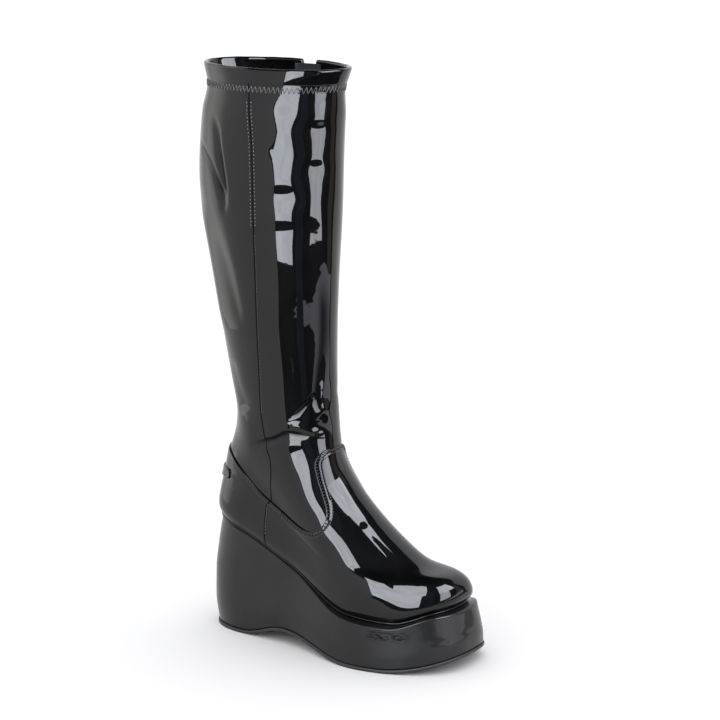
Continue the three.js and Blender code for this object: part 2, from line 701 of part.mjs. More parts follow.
// Pull tab: hangs from the bridge, with its origin on the pivot
function pullGeometry() {
  const bar = PULL_THICKNESS / 2;
  const half = PULL_WIDTH / 2;
  const eyeHalf = BRIDGE_WIDTH / 2 + PULL_PLAY;
  const eyeLength = bridgeLength / 2 + BRIDGE_BAR + PULL_PLAY;
  const neck = eyeHalf + PULL_THICKNESS;
  const shoulder = eyeLength + PULL_THICKNESS;
  const outline = new THREE.Shape();
  outline.moveTo(-neck, bar);
  outline.lineTo(neck, bar);
  outline.lineTo(neck, -shoulder);
  outline.lineTo(half, -PULL_LENGTH * 0.7);
  outline.quadraticCurveTo(half, -PULL_LENGTH, 0, -PULL_LENGTH);
  outline.quadraticCurveTo(-half, -PULL_LENGTH, -half, -PULL_LENGTH * 0.7);
  outline.lineTo(-neck, -shoulder);
  const eye = new THREE.Path();
  eye.moveTo(-eyeHalf, -bar);
  eye.lineTo(-eyeHalf, -eyeLength);
  eye.lineTo(eyeHalf, -eyeLength);
  eye.lineTo(eyeHalf, -bar);
  outline.holes.push(eye);
  const pull = new THREE.ExtrudeGeometry(outline, {
    depth: PULL_THICKNESS,
    bevelEnabled: false,
    curveSegments: 6,
  });
  pull.rotateX(Math.PI / 2);
  pull.translate(0, PULL_THICKNESS / 2, 0);
  return geometryOf(solidOf(pull));
}

// Materials
const patent = { color: 0x08080a, roughness: 0.08, metalness: 0 };
const rubber = { color: 0x0e0e10, roughness: 0.6, metalness: 0 };
const lining = { color: 0x17171a, roughness: 0.85, metalness: 0 };
const lacquer = { color: 0x0a0a0b, roughness: 0.25, metalness: 0.4 };

function named(name, geometry, look) {
  const mesh = new THREE.Mesh(geometry, new THREE.MeshStandardMaterial(look));
  mesh.name = name;
  return mesh;
}

const boot = new THREE.Group();
boot.add(named("outsole", outsoleGeometry(), rubber));
boot.add(named("wedge_platform", wedgeGeometry(), patent));
boot.add(named("rand", randGeometry(), patent));
boot.add(named("insole", insoleGeometry(), lining));
boot.add(named("upper", upperGeometry(), patent));
boot.add(named("galosh", galoshGeometry(), patent));
boot.add(named("heel_tab", heelTabGeometry(), patent));
boot.add(named("collar_band", collarGeometry(), patent));
boot.add(named("zip_chain", zipChainGeometry(), lining));
boot.add(named("zip_guard", zipGuardGeometry(), lining));

// The slider sits at the zip's upper end and leans with the shaft; the pull hangs straight down.
const sliderZ = zipHigh - GAP - SLIDER_LENGTH / 2;
const seat = ringAt(zipX(sliderZ), sliderZ);
const coilTop = -ZIP_GROOVE + GAP + ZIP_TAPE_THICKNESS + ZIP_COIL_HEIGHT;
const seatPoint = skin(seat.v, seat.turn, coilTop + GAP);
const above = skin(seat.v + 0.1, seat.turn, coilTop + GAP);
const slider = new THREE.Group();
slider.position.copy(seatPoint);
slider.rotation.x = Math.atan2(seatPoint.y - above.y, above.z - seatPoint.z);
slider.add(named("zip_slider", sliderGeometry(), lacquer));
boot.add(slider);
slider.updateMatrix();
const pull = new THREE.Group();
pull.position.copy(new THREE.Vector3(0, pivotOut, 0).applyMatrix4(slider.matrix));
pull.add(named("zip_pull", pullGeometry(), lacquer));
boot.add(pull);

boot.position.x = -HEEL_REST * FOOT_LENGTH;

export default boot;
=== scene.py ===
"""Platform boot in black patent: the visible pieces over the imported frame, light, floor and camera.

Lengths are millimetres, counted from the back of the heel along the foot, until a piece is made:
make_piece moves them to the frame's origin, and mesh_object turns them into metres.
"""

import math

import bmesh
import bpy
import numpy as np
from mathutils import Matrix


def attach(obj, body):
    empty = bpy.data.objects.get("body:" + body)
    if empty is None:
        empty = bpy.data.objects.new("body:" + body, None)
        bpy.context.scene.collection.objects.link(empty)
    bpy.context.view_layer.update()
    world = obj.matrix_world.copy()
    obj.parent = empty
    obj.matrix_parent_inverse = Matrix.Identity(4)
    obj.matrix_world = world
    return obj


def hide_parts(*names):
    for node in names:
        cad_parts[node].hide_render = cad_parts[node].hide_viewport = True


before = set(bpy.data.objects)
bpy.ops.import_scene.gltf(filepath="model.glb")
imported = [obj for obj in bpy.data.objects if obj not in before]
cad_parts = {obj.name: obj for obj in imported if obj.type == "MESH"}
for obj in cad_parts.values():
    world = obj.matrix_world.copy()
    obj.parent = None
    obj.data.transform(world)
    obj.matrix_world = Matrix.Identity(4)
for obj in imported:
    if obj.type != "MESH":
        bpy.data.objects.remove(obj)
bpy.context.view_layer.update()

MM = 0.001

# Foot of the upper
FOOT_LENGTH = 243.0
HEEL_WIDTH = 63.7
WAIST_WIDTH = 63.7
BALL_WIDTH = 87.8
TOE_WIDTH = 78.0
TOE_SWING = 14.3
HEEL_REST = 0.107  # share of the foot's length from the heel's back to the frame's origin

# Heights above the floor
HEEL_HEIGHT = 101.2
PLATFORM_HEIGHT = 41.9
ANKLE_HEIGHT = 207.0
BOOT_HEIGHT = 497.0

# Shaft
CALF_DEPTH = 134.4
CALF_WIDTH = 97.0
ANKLE_SLANT = 11.0

# Sole
LEDGE = 10.4
OUTSOLE_THICKNESS = 3.0
OUTSOLE_LIP = 0.8
ARCH_HEIGHT = 11.0
TOE_SPRING = 12.0
EDGE_DROP = 2.4  # height of the platform's rounded top corner
CORNER = 0.8  # below 1 that corner is fuller than a quarter circle
CONTACT = {"heel_end": 0.175, "arch_top": 0.368, "ball_start": 0.69, "ball_end": 0.792}

# Walls and layers
WALL = 1.8
OVERLAY = 1.0
RAND_THICKNESS = 1.4
RAND_PROUD = 0.4
COLLAR_HEIGHT = 13.0
COLLAR_THICKNESS = 0.9
HEEL_TAB_THICKNESS = 1.3
GAP = 0.3
RAND_LIFT = GAP + RAND_THICKNESS + GAP
COLLAR_LIFT = GAP + COLLAR_THICKNESS
UPPER_TOP = BOOT_HEIGHT - COLLAR_LIFT
GALOSH_OUT = GAP + OVERLAY

# Zip on the inner side
ZIP_TOP = 0.265
ZIP_FOOT = 0.29
ZIP_CLEAR_OF_SOLE = 8.0
SLOT_WIDTH = 9.4
TAPE_WIDTH = 13.0
TAPE_DEPTH = 0.9
TOOTH_PITCH = 1.5
TOOTH_WIDTH = 4.4
GUARD_WIDTH = 28.0
GUARD_THICKNESS = 1.0
NOTCH_WIDTH = 12.0
NOTCH_DEPTH = 15.0

OUTER = -1  # the side away from the other foot, towards -Y
INNER = 1

# The line where the upper meets the sole: at is a share of the foot's length, rise a share of the
# drop from the heel to the platform
FEATHER_LINE = {
    "at": [-0.1, 0.025, 0.148, 0.398, 0.659, 0.824, 0.979, 1.1],
    "rise": [1.03, 1, 0.907, 0.481, 0, -0.042, 0.133, 0.15],
}

# Rings of the foot, then of the shaft, from the sole up. back and front are shares of the foot's
# length, the rises shares of the climb to the ankle ring, heel to toe shares of half the named
# widths, zones the rounded stretches at each end, powers how square they are
FOOT_COLUMNS = ("back", "front", "back_rise", "front_rise", "heel", "waist", "ball", "toe",
                "back_zone", "front_zone", "back_power", "front_power", "follow")
FOOT_RINGS = [
    (0.0276, 0.9745, 0, 0, 0.946, 0.946, 0.963, 0.984, 0.16, 0.26, 2.2, 2.65, 1),
    (0.0144, 0.9963, 0.092, 0.061, 1, 1, 1, 1, 0.16, 0.26, 2.2, 2.65, 0.95),
    (0.0218, 0.9897, 0.195, 0.122, 0.986, 0.986, 0.987, 0.961, 0.17, 0.28, 2.2, 2.54, 0.85),
    (0.0329, 0.952, 0.298, 0.176, 0.948, 0.979, 0.934, 0.88, 0.18, 0.32, 2.2, 2.44, 0.72),
    (0.042, 0.8626, 0.392, 0.198, 0.948, 0.979, 0.889, 0.85, 0.2, 0.31, 2.1, 2.3, 0.58),
    (0.0506, 0.7597, 0.486, 0.308, 0.919, 0.981, 0.8465, 0.826, 0.22, 0.32, 2.1, 2.2, 0.45),
    (0.0675, 0.6565, 0.589, 0.454, 0.935, 1.028, 0.813, 0.814, 0.25, 0.36, 2, 2.1, 0.32),
    (0.0881, 0.5645, 0.709, 0.617, 0.989, 1.082, 0.807, 0.833, 0.3, 0.4, 2, 2, 0.2),
    (0.0979, 0.501, 0.846, 0.8, 1.054, 1.116, 0.81, 0.861, 0.36, 0.45, 2, 2, 0.1),
]
SHAFT_COLUMNS = ("rise", "centre", "depth", "width", "slant", "follow")
SHAFT_RINGS = [
    (0, 0.2833, 0.735, 0.757, 1, 0.03),
    (0.093, 0.2687, 0.758, 0.772, 0.55, 0),
    (0.245, 0.2533, 0.807, 0.838, 0.23, 0),
    (0.426, 0.2404, 0.889, 0.922, 0.09, 0),
    (0.657, 0.2218, 1, 1, 0, 0),
    (0.815, 0.2305, 0.992, 0.993, 0, 0),
    (0.948, 0.2507, 0.977, 0.96, 0.05, 0),
    (1, 0.2547, 1.01, 0.915, 0.06, 0),
]
WIDTH_NAMES = ("heel", "waist", "ball", "toe")
WIDTH_STATIONS = [0.1, 0.36, 0.7, 0.93]

# Loops of the wedge from its underside to its top edge, as shares of the wedge's thickness and of
# the ledge
SOLE_LOOPS = {
    "height": [0, 0.25, 0.5, 0.75, 1],
    "back": [0.25, 0.49, 0.47, 0.19, -0.27],
    "front": [0.86, 0.84, 0.69, 0.5, 0.3],
    "heel": [0.04, 0.22, 0.13, 0.04, 0.04],
    "waist": [0.3, 0.4, 0.3, 0.21, 0.11],
    "ball": [1, 0.97, 0.89, 0.8, 0.71],
    "toe": [0.88, 0.85, 0.79, 0.72, 0.66],
}

# Top edge of the galosh in side view: (share of the foot's length, share of the ankle's height)
GALOSH_EDGE = [
    (-0.12, 0.81), (0.058, 0.79), (0.16, 0.728), (0.251, 0.643), (0.338, 0.586), (0.429, 0.534),
    (0.486, 0.518), (0.523, 0.529), (0.5415, 0.565), (0.533, 0.611), (0.511, 0.662),
    (0.4835, 0.725), (0.466, 0.785), (0.4755, 0.826), (0.502, 0.843), (0.62, 0.85),
]
HEEL_TAB = {"end_x": 27.5, "low": 136.5, "high": 144.8, "corner": 2.0}

# Lateral seam in side view, from the hem to the sole
SEAM = [
    (64.5, 494), (66.5, 478), (69.9, 440), (70.1, 386), (69.8, 359), (69.6, 336), (68.6, 297),
    (68.1, 263), (68.2, 230), (69, 203), (73.5, 175), (76.7, 165), (77.3, 152), (75.1, 139),
    (74.8, 127), (70.4, 121), (69.3, 112), (68.6, 103), (68.6, 88),
]


# Curves
def cubic(xs, ys, x):
    """Monotone cubic through (xs, ys), flat beyond its ends. ys may hold a column for each x."""
    xs = np.asarray(xs, float)
    x = np.clip(np.asarray(x, float), xs[0], xs[-1])
    ys = np.asarray(ys, float)
    if ys.ndim == 1:
        ys = ys[:, None]
    slopes = np.diff(ys, axis=0) / np.diff(xs)[:, None]
    product = slopes[:-1] * slopes[1:]
    total = slopes[:-1] + slopes[1:]
    inner = np.where(product > 0, 2 * product / np.where(total == 0, 1, total), 0)
    tangents = np.concatenate([slopes[:1], inner, slopes[-1:]])
    i = np.clip(np.searchsorted(xs, x, side="right") - 1, 0, len(xs) - 2)
    column = np.arange(len(x)) if ys.shape[1] > 1 else np.zeros(len(x), int)
    span = xs[i + 1] - xs[i]
    t = (x - xs[i]) / span
    start = (1 + 2 * t) * (1 - t) ** 2 * ys[i, column] + t * (1 - t) ** 2 * span * tangents[i, column]
    end = t * t * (3 - 2 * t) * ys[i + 1, column] + t * t * (t - 1) * span * tangents[i + 1, column]
    return start + end


def smoothed(knots, steps):
    """Catmull-Rom curve through the knots, with a number of steps between two of them."""
    knots = np.asarray(knots, float)
    p = np.concatenate([knots[:1], knots, knots[-1:]])
    t = np.linspace(0, 1, steps, endpoint=False)[:, None]
    parts = []
    for a, b, c, d in zip(p, p[1:], p[2:], p[3:]):
        parts.append(0.5 * (2 * b + (c - a) * t + (2 * a - 5 * b + 4 * c - d) * t**2
                            + (3 * b - a - 3 * c + d) * t**3))
    return np.concatenate([*parts, knots[-1:]])


def smoothstep(t):
    t = np.clip(t, 0, 1)
    return t * t * (3 - 2 * t)


def nearest(path, x, z):
    """Distance to a path, share of its length at the nearest point, and the side, +1 on its left."""
    path = np.asarray(path, float)
    steps = np.diff(path, axis=0)
    lengths = np.hypot(*steps.T)
    starts = np.concatenate([[0], np.cumsum(lengths)])
    best = np.full(np.shape(x), 1e9)
    share = np.zeros(np.shape(x))
    side = np.ones(np.shape(x))
    for (ax, az), (dx, dz), length, start in zip(path, steps, lengths, starts):
        t = np.clip(((x - ax) * dx + (z - az) * dz) / length**2, 0, 1)
        distance = np.hypot(x - ax - t * dx, z - az - t * dz)
        closer = distance < best
        best = np.where(closer, distance, best)
        share = np.where(closer, (start + t * length) / starts[-1], share)
        side = np.where(closer, np.where(dx * (z - az) - dz * (x - ax) >= 0, 1, -1), side)
    return best, share, side


# Form of the foot and the shaft
def feather_height(x):
    """Height of the sole's top at a place along the foot."""
    at = np.array(FEATHER_LINE["at"]) * FOOT_LENGTH
    return PLATFORM_HEIGHT + (HEEL_HEIGHT - PLATFORM_HEIGHT) * cubic(at, FEATHER_LINE["rise"], x)


def underside_height(x):
    """Height of the sole's underside: flat heel, arch, flat forefoot and toe spring."""
    share = x / FOOT_LENGTH
    climb = np.clip((share - CONTACT["heel_end"]) / (CONTACT["arch_top"] - CONTACT["heel_end"]), 0, 1)
    fall = np.clip((share - CONTACT["arch_top"]) / (CONTACT["ball_start"] - CONTACT["arch_top"]), 0, 1)
    tip = 1 + LEDGE / FOOT_LENGTH
    spring = np.maximum(0, (share - CONTACT["ball_end"]) / (tip - CONTACT["ball_end"]))
    arch = np.where(share < CONTACT["arch_top"], (1 - np.cos(np.pi * climb)) / 2,
                    (1 - fall) ** 2 * (1 + 2 * fall))
    return ARCH_HEIGHT * arch + TOE_SPRING * spring**2


def ring_rows():
    """All rings of the upper in millimetres, from the sole to the collar."""
    rows = []
    toe_edge = feather_height(np.array([FOOT_RINGS[0][1] * FOOT_LENGTH]))[0]
    widths = dict(zip(WIDTH_NAMES, (HEEL_WIDTH, WAIST_WIDTH, BALL_WIDTH, TOE_WIDTH)))
    for values in FOOT_RINGS:
        row = dict(zip(FOOT_COLUMNS, values))
        row["back_z"] = HEEL_HEIGHT + row["back_rise"] * (ANKLE_HEIGHT + ANKLE_SLANT - HEEL_HEIGHT)
        row["front_z"] = toe_edge + row["front_rise"] * (ANKLE_HEIGHT - ANKLE_SLANT - toe_edge)
        for name in ("back", "front"):
            row[name] *= FOOT_LENGTH
        for name, width in widths.items():
            row[name] *= width / 2
        rows.append(row)
    for values in SHAFT_RINGS:
        ring = dict(zip(SHAFT_COLUMNS, values))
        centre = ring["centre"] * FOOT_LENGTH
        half_depth = ring["depth"] * CALF_DEPTH / 2
        middle = ANKLE_HEIGHT + ring["rise"] * (UPPER_TOP - ANKLE_HEIGHT)
        slant = ring["slant"] * ANKLE_SLANT
        rows.append({
            "back": centre - half_depth, "front": centre + half_depth,
            "back_z": middle + slant, "front_z": middle - slant,
            **dict.fromkeys(WIDTH_NAMES, ring["width"] * CALF_WIDTH / 2),
            "back_zone": 0.5, "front_zone": 0.5, "back_power": 2, "front_power": 2,
            "follow": ring["follow"],
        })
    return rows


RINGS = ring_rows()
TOP_RING = len(RINGS) - 1
COLUMN_NAMES = list(RINGS[-1])
FINE_RINGS = np.linspace(0, TOP_RING, 100 * TOP_RING + 1)
SOFTENING = 25  # hundredths of a ring over which the rings' curves are rounded off


def fine_column(name):
    """One column of the rings at every hundredth of a ring, with its bends rounded off."""
    values = cubic(np.arange(len(RINGS)), [row[name] for row in RINGS], FINE_RINGS)
    reach = 3 * SOFTENING
    kernel = np.exp(-0.5 * (np.arange(-reach, reach + 1) / SOFTENING) ** 2)
    low = 2 * values[0] - values[reach:0:-1]
    high = 2 * values[-1] - values[-2:-reach - 2:-1]
    padded = np.concatenate([low, values, high])
    return np.convolve(padded, kernel / kernel.sum(), mode="valid")


COLUMNS = {name: fine_column(name) for name in COLUMN_NAMES}


def middle_line(x):
    """Middle line of the foot, which turns to the inner side towards the toe."""
    start = 0.37 * FOOT_LENGTH
    return TOE_SWING * np.clip((x - start) / (FOOT_LENGTH - start), 0, 1) ** 2


def end_round(s, row):
    """Rounding of a ring's two ends: 1 in the middle, 0 at the tips."""
    back = np.clip(1 - s / row["back_zone"], 0, 1)
    front = np.clip((s - 1 + row["front_zone"]) / row["front_zone"], 0, 1)
    return ((1 - back ** row["back_power"]) ** (1 / row["back_power"])
            * (1 - front ** row["front_power"]) ** (1 / row["front_power"]))


def half_width(s, row):
    widths = [np.broadcast_to(row[name], len(s)) for name in WIDTH_NAMES]
    return cubic(WIDTH_STATIONS, widths, s) * end_round(s, row)


def loop_points(row, turn):
    """Plan of a ring: turn runs from the heel's tip round the outer side to the toe and back."""
    s = (1 - np.cos(turn)) / 2
    x = row["back"] + (row["front"] - row["back"]) * s
    side = np.where(np.sin(turn) >= 0, OUTER, INNER)
    return s, x, middle_line(x) + side * half_width(s, row)


def base_point(v, turn):
    """Point of the upper's outer face at ring number v, with no crease."""
    row = {name: np.interp(v, FINE_RINGS, COLUMNS[name]) for name in COLUMN_NAMES}
    s, x, y = loop_points(row, turn)
    first = RINGS[0]
    foot_x = first["back"] + (first["front"] - first["back"]) * s
    ends = feather_height(np.array([first["back"], first["front"]]))
    bend = row["follow"] * (feather_height(foot_x) - ends[0] * (1 - s) - ends[1] * s)
    z = row["back_z"] + (row["front_z"] - row["back_z"]) * s + bend
    return np.stack([x, y, z + RAND_LIFT * np.maximum(0, 1 - v)], -1)


def steps_of(point, v, turn):
    """Changes of a surface with a small step in turn and in v."""
    small = 0.01
    low = np.maximum(0, v - small)
    high = np.minimum(TOP_RING, v + small)
    along = (point(v, turn + small) - point(v, turn - small)) / (2 * small)
    upward = (point(high, turn) - point(low, turn)) / (high - low)[:, None]
    return along, upward


def skin(v, turn, out):
    """Point moved out from the upper's face along its normal; the lower edge stays on the sole."""
    along, upward = steps_of(base_point, v, turn)
    normal = np.cross(along, upward)
    normal[:, 2] *= np.minimum(1, v)
    normal /= np.linalg.norm(normal, axis=1)[:, None]
    base = base_point(v, turn)
    point = base + normal * (out + relief(v, turn, base))[:, None]
    point[:, 2] = np.where(v < 1e-6, feather_height(point[:, 0]) + RAND_LIFT, point[:, 2])
    return point


# Creases, folds and soft dents of the patent, placed in side view: side, depth out of the surface,
# half widths on the path's left and right, path. A trough's depth is negative. A narrow width on
# one side and a wide one on the other make a fold.
CREASE_COLUMNS = ("side", "depth", "widths", "path")
CREASES = [dict(zip(CREASE_COLUMNS, row)) for row in [
    # ankle, outer side
    (OUTER, -2.2, (1.9, 4.2), [(59, 176), (80, 183), (94, 189), (112, 185)]),
    (OUTER, 0.4, (4, 5), [(60, 168), (82, 174), (100, 180), (113, 181)]),
    (OUTER, 0.6, (2.2, 2.4), [(94, 196), (104, 194), (114, 188)]),
    (OUTER, -0.5, (1.6, 1.6), [(95, 202), (103, 209), (113, 224)]),
    (OUTER, -0.55, (8, 8), [(124, 160), (142, 131), (162, 108)]),
    (OUTER, 0.8, (1.3, 1.3),
     [(119, 345), (118, 300), (117, 262), (115.5, 236), (114.5, 218), (117, 200), (120, 188)]),
    (OUTER, -0.5, (1.6, 1.6), [(116, 330), (115, 300), (114, 262), (112.5, 238), (111.5, 218), (114, 200)]),
    # calf, outer side
    (OUTER, -1.5, (1.9, 6), [(23, 459), (32, 446), (38, 420), (42, 396), (41, 382)]),
    (OUTER, -1.2, (2.0, 5), [(3, 433), (24, 415), (36, 396), (41, 382)]),
    (OUTER, -1.1, (7, 10), [(8, 384), (26, 353), (40, 318), (52, 270)]),
    (OUTER, 1.2, (8, 8), [(-12, 392), (2, 360), (16, 318), (26, 260)]),
    (OUTER, -1.0, (7, 9), [(30, 250), (40, 222), (54, 200)]),
    # inner side
    (INNER, -2.0, (2.2, 4.2), [(86, 184), (98, 190), (112, 186)]),
    (INNER, 1.0, (4, 5), [(84, 176), (100, 181), (114, 180)]),
    (INNER, -1.3, (2.2, 3.4), [(92, 203), (102, 210), (113, 224)]),
    (INNER, -1.3, (3, 5), [(20, 178), (36, 186), (52, 186)]),
    (INNER, -1.0, (8, 9), [(8, 400), (24, 360), (34, 318), (40, 272)]),
    (INNER, -0.9, (7, 7), [(96, 440), (92, 400), (88, 350), (90, 300)]),
]]

# Bulges and hollows: middle in side view, half length and half height, rise out of the surface
SWELL_COLUMNS = ("side", "x", "z", "long", "high", "rise")
SWELLS = [dict(zip(SWELL_COLUMNS, row)) for row in [
    (OUTER, 67, 458, 13, 28, 1.5),
    (OUTER, 97, 466, 9, 9, -0.45),
    (OUTER, 99, 446, 7, 8, 0.35),
    (OUTER, 89, 428, 9, 10, -0.6),
    (OUTER, 93, 406, 18, 7, 0.6),
    (OUTER, 91, 391, 18, 7, -0.6),
    (OUTER, 94, 375, 18, 7, 0.42),
    (OUTER, 88, 361, 18, 7, -0.42),
    (OUTER, 89, 368, 5, 24, 0.16),
    (OUTER, 118, 458, 7, 6, 0.45),
    (OUTER, 118, 446, 7, 6, -0.45),
    (OUTER, 115, 426, 7, 6, 0.45),
    (OUTER, 115, 413, 7, 6, -0.45),
    (OUTER, 112, 388, 6, 9, 0.5),
    (OUTER, 40, 386, 4, 9, -0.9),
    (OUTER, 118, 206, 6, 8, 1.0),
    (OUTER, 119, 160, 13, 20, 2.1),
    (OUTER, 146, 80, 20, 15, 1.3),
    (OUTER, 178, 66, 20, 13, 1.5),
    (OUTER, 128, 112, 9, 14, 0.5),
    (INNER, 30, 430, 16, 26, -0.8),
    (INNER, 98, 380, 12, 30, 0.7),
    (INNER, 24, 300, 12, 34, 0.7),
]]

HEM_PINCH = {"below": 19.0, "gone": 40.0, "depth": -1.9}


def relief(v, turn, base):
    """How far creases and swells lift the patent at points of the upper's face."""
    x, z = base[:, 0], base[:, 2]
    side = np.where(np.sin(turn) >= 0, OUTER, INNER)
    ridge = np.clip(np.abs(np.sin(turn)) * 3, 0, 1)  # creases die away over the front and the back
    lift = np.zeros(len(x))
    for crease in CREASES:
        path = np.array(crease["path"], float)
        reach = 3 * max(crease["widths"])
        low = path.min(0) - reach
        high = path.max(0) + reach
        near = np.flatnonzero((side == crease["side"]) & (x > low[0]) & (x < high[0])
                              & (z > low[1]) & (z < high[1]))
        if not len(near):
            continue
        distance, share, left = nearest(smoothed(path, 6), x[near], z[near])
        width = np.where(left > 0, crease["widths"][0], crease["widths"][1])
        ends = smoothstep(share / 0.25) * smoothstep((1 - share) / 0.2)
        ends = np.maximum(ends, 0.15)
        lift[near] += crease["depth"] * ends * np.exp(-((distance / width) ** 2)) * ridge[near]
    for swell in SWELLS:
        form = np.exp(-((x - swell["x"]) / swell["long"]) ** 2 - ((z - swell["z"]) / swell["high"]) ** 2)
        lift += np.where(side == swell["side"], swell["rise"] * form * ridge, 0)
    top = RINGS[-1]["back_z"] + (RINGS[-1]["front_z"] - RINGS[-1]["back_z"]) * (1 - np.cos(turn)) / 2
    below = top - z
    lower = (HEM_PINCH["gone"] - below) / (HEM_PINCH["gone"] - HEM_PINCH["below"])
    lift += HEM_PINCH["depth"] * smoothstep(below / HEM_PINCH["below"]) * smoothstep(lower)
    waves = (np.sin(z / 17 + 2.1 * np.sin(turn * 2)) * np.sin(turn * 5 + z / 60)
             + 0.6 * np.sin(z / 29 + turn * 3 + 1.3))
    return lift + 0.16 * waves * smoothstep((v - 6) / 3)


def bisect(low, high, is_below, steps):
    """Place between low and high where is_below stops being true."""
    for _ in range(steps):
        middle = (low + high) / 2
        below = is_below(middle)
        low = np.where(below, middle, low)
        high = np.where(below, high, middle)
    return (low + high) / 2


def place(x, z, side):
    """(v, turn) of points of the upper given in side view."""
    x, z = np.broadcast_arrays(np.asarray(x, float), np.asarray(z, float))

    def turn_at(v):
        back = np.interp(v, FINE_RINGS, COLUMNS["back"])
        front = np.interp(v, FINE_RINGS, COLUMNS["front"])
        return np.arccos(1 - 2 * np.clip((x - back) / (front - back), 0, 1))

    v = bisect(np.zeros(len(x)), np.full(len(x), float(TOP_RING)),
               lambda middle: base_point(middle, turn_at(middle))[:, 2] < z, 34)
    turn = turn_at(v)
    return v, (turn if side == OUTER else 2 * np.pi - turn)


def ring_below(drop, turn):
    """Ring number at a drop below the upper's top edge."""
    top = np.full(len(turn), float(TOP_RING))
    goal = base_point(top, turn)[:, 2] - drop
    return bisect(top - 4, top, lambda v: base_point(v, turn)[:, 2] < goal, 24)


# Meshes
def grid_triangles(rows, cols):
    index = np.arange(rows * cols).reshape(rows, cols)
    a, b, c, d = index[:-1, :-1], index[:-1, 1:], index[1:, 1:], index[1:, :-1]
    first = np.stack([a, b, c], -1).reshape(-1, 3)
    second = np.stack([a, c, d], -1).reshape(-1, 3)
    return np.concatenate([first, second])


def cut(data, triangles, field):
    """Keeps the triangles' part where field is negative. Returns data, triangles and cut edges."""
    inside = field < 0
    count = inside[triangles].sum(1)

    def lone_first(chosen, lone_inside):
        """Triangles turned so that the corner unlike the other two comes first."""
        lone = np.argmax(inside[chosen] == lone_inside, axis=1)
        return np.take_along_axis(chosen, (lone[:, None] + np.arange(3)) % 3, 1)

    whole = triangles[count == 3]
    one = lone_first(triangles[count == 1], True)
    two = lone_first(triangles[count == 2], False)
    pairs = np.concatenate([one[:, [0, 1]], one[:, [0, 2]], two[:, [0, 1]], two[:, [0, 2]]])
    if not len(pairs):
        return data, whole, np.zeros((0, 2), int)
    crossed, inverse = np.unique(np.sort(pairs, axis=1), axis=0, return_inverse=True)
    low, high = field[crossed].T
    t = (low / (low - high))[:, None]
    number = len(data) + inverse.ravel()
    data = np.concatenate([data, data[crossed[:, 0]] * (1 - t) + data[crossed[:, 1]] * t])
    ab, ac, cd, ce = np.split(number, [len(one), 2 * len(one), 2 * len(one) + len(two)])
    triangles = np.concatenate([whole, np.stack([one[:, 0], ab, ac], 1),
                                np.stack([cd, two[:, 1], two[:, 2]], 1), np.stack([cd, two[:, 2], ce], 1)])
    used, packed = np.unique(triangles, return_inverse=True)
    renumber = np.full(len(data), -1)
    renumber[used] = np.arange(len(used))
    edges = renumber[np.concatenate([np.stack([ab, ac], 1), np.stack([ce, cd], 1)])]
    return data[used], packed.reshape(triangles.shape), edges[(edges >= 0).all(1)]


def cut_grid(rings, turns, field):
    """Grid over (v, turn), cut along field = 0."""
    data = np.stack(np.meshgrid(rings, turns, indexing="ij"), -1).reshape(-1, 2)
    return cut(data, grid_triangles(len(rings), len(turns)), field(*data.T))


def mesh_object(name, points, faces, material):
    """Object from points in millimetres from the frame's origin."""
    mesh = bpy.data.meshes.new(name)
    mesh.from_pydata((np.asarray(points) * MM).tolist(), [], [list(map(int, face)) for face in faces])
    mesh.materials.append(material)
    made = bpy.data.objects.new(name, mesh)
    bpy.context.scene.collection.objects.link(made)
    return made


def make_piece(name, points, faces, material, replaces=(), slot=None, attributes=None, weld=0.02,
               fill_holes=False):
    """Piece that rides on the boot, from points in millimetres from the back of the heel."""
    piece = mesh_object(name, np.asarray(points) - [HEEL_REST * FOOT_LENGTH, 0, 0], faces, material)
    mesh = piece.data
    for key, values in (attributes or {}).items():
        mesh.attributes.new(key, "FLOAT", "POINT").data.foreach_set("value", np.asarray(values, np.float32))
    if weld:
        made = bmesh.new()
        made.from_mesh(mesh)
        bmesh.ops.remove_doubles(made, verts=made.verts, dist=weld * MM)
        if fill_holes:
            bmesh.ops.holes_fill(made, edges=[edge for edge in made.edges if edge.is_boundary], sides=0)
        made.to_mesh(mesh)
        made.free()
    mesh.validate()
    mesh.polygons.foreach_set("use_smooth", [True] * len(mesh.polygons))
    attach(piece, "boot")
    if replaces:
        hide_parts(*replaces)


def surface_step(field, v, turn):
    """Step in (v, turn) that goes one millimetre over the surface, straight up the field."""
    small = 0.004
    slope_v = (field(v + small, turn) - field(v - small, turn)) / (2 * small)
    slope_t = (field(v, turn + small) - field(v, turn - small)) / (2 * small)
    along, upward = steps_of(base_point, v, turn)
    e = (upward * upward).sum(1)
    f = (upward * along).sum(1)
    g = (along * along).sum(1)
    det = np.maximum(e * g - f * f, 1e-9)
    step_v = (g * slope_v - f * slope_t) / det
    step_t = (e * slope_t - f * slope_v) / det
    speed = np.sqrt(np.maximum(slope_v * step_v + slope_t * step_t, 1e-9))
    return step_v / speed, step_t / speed


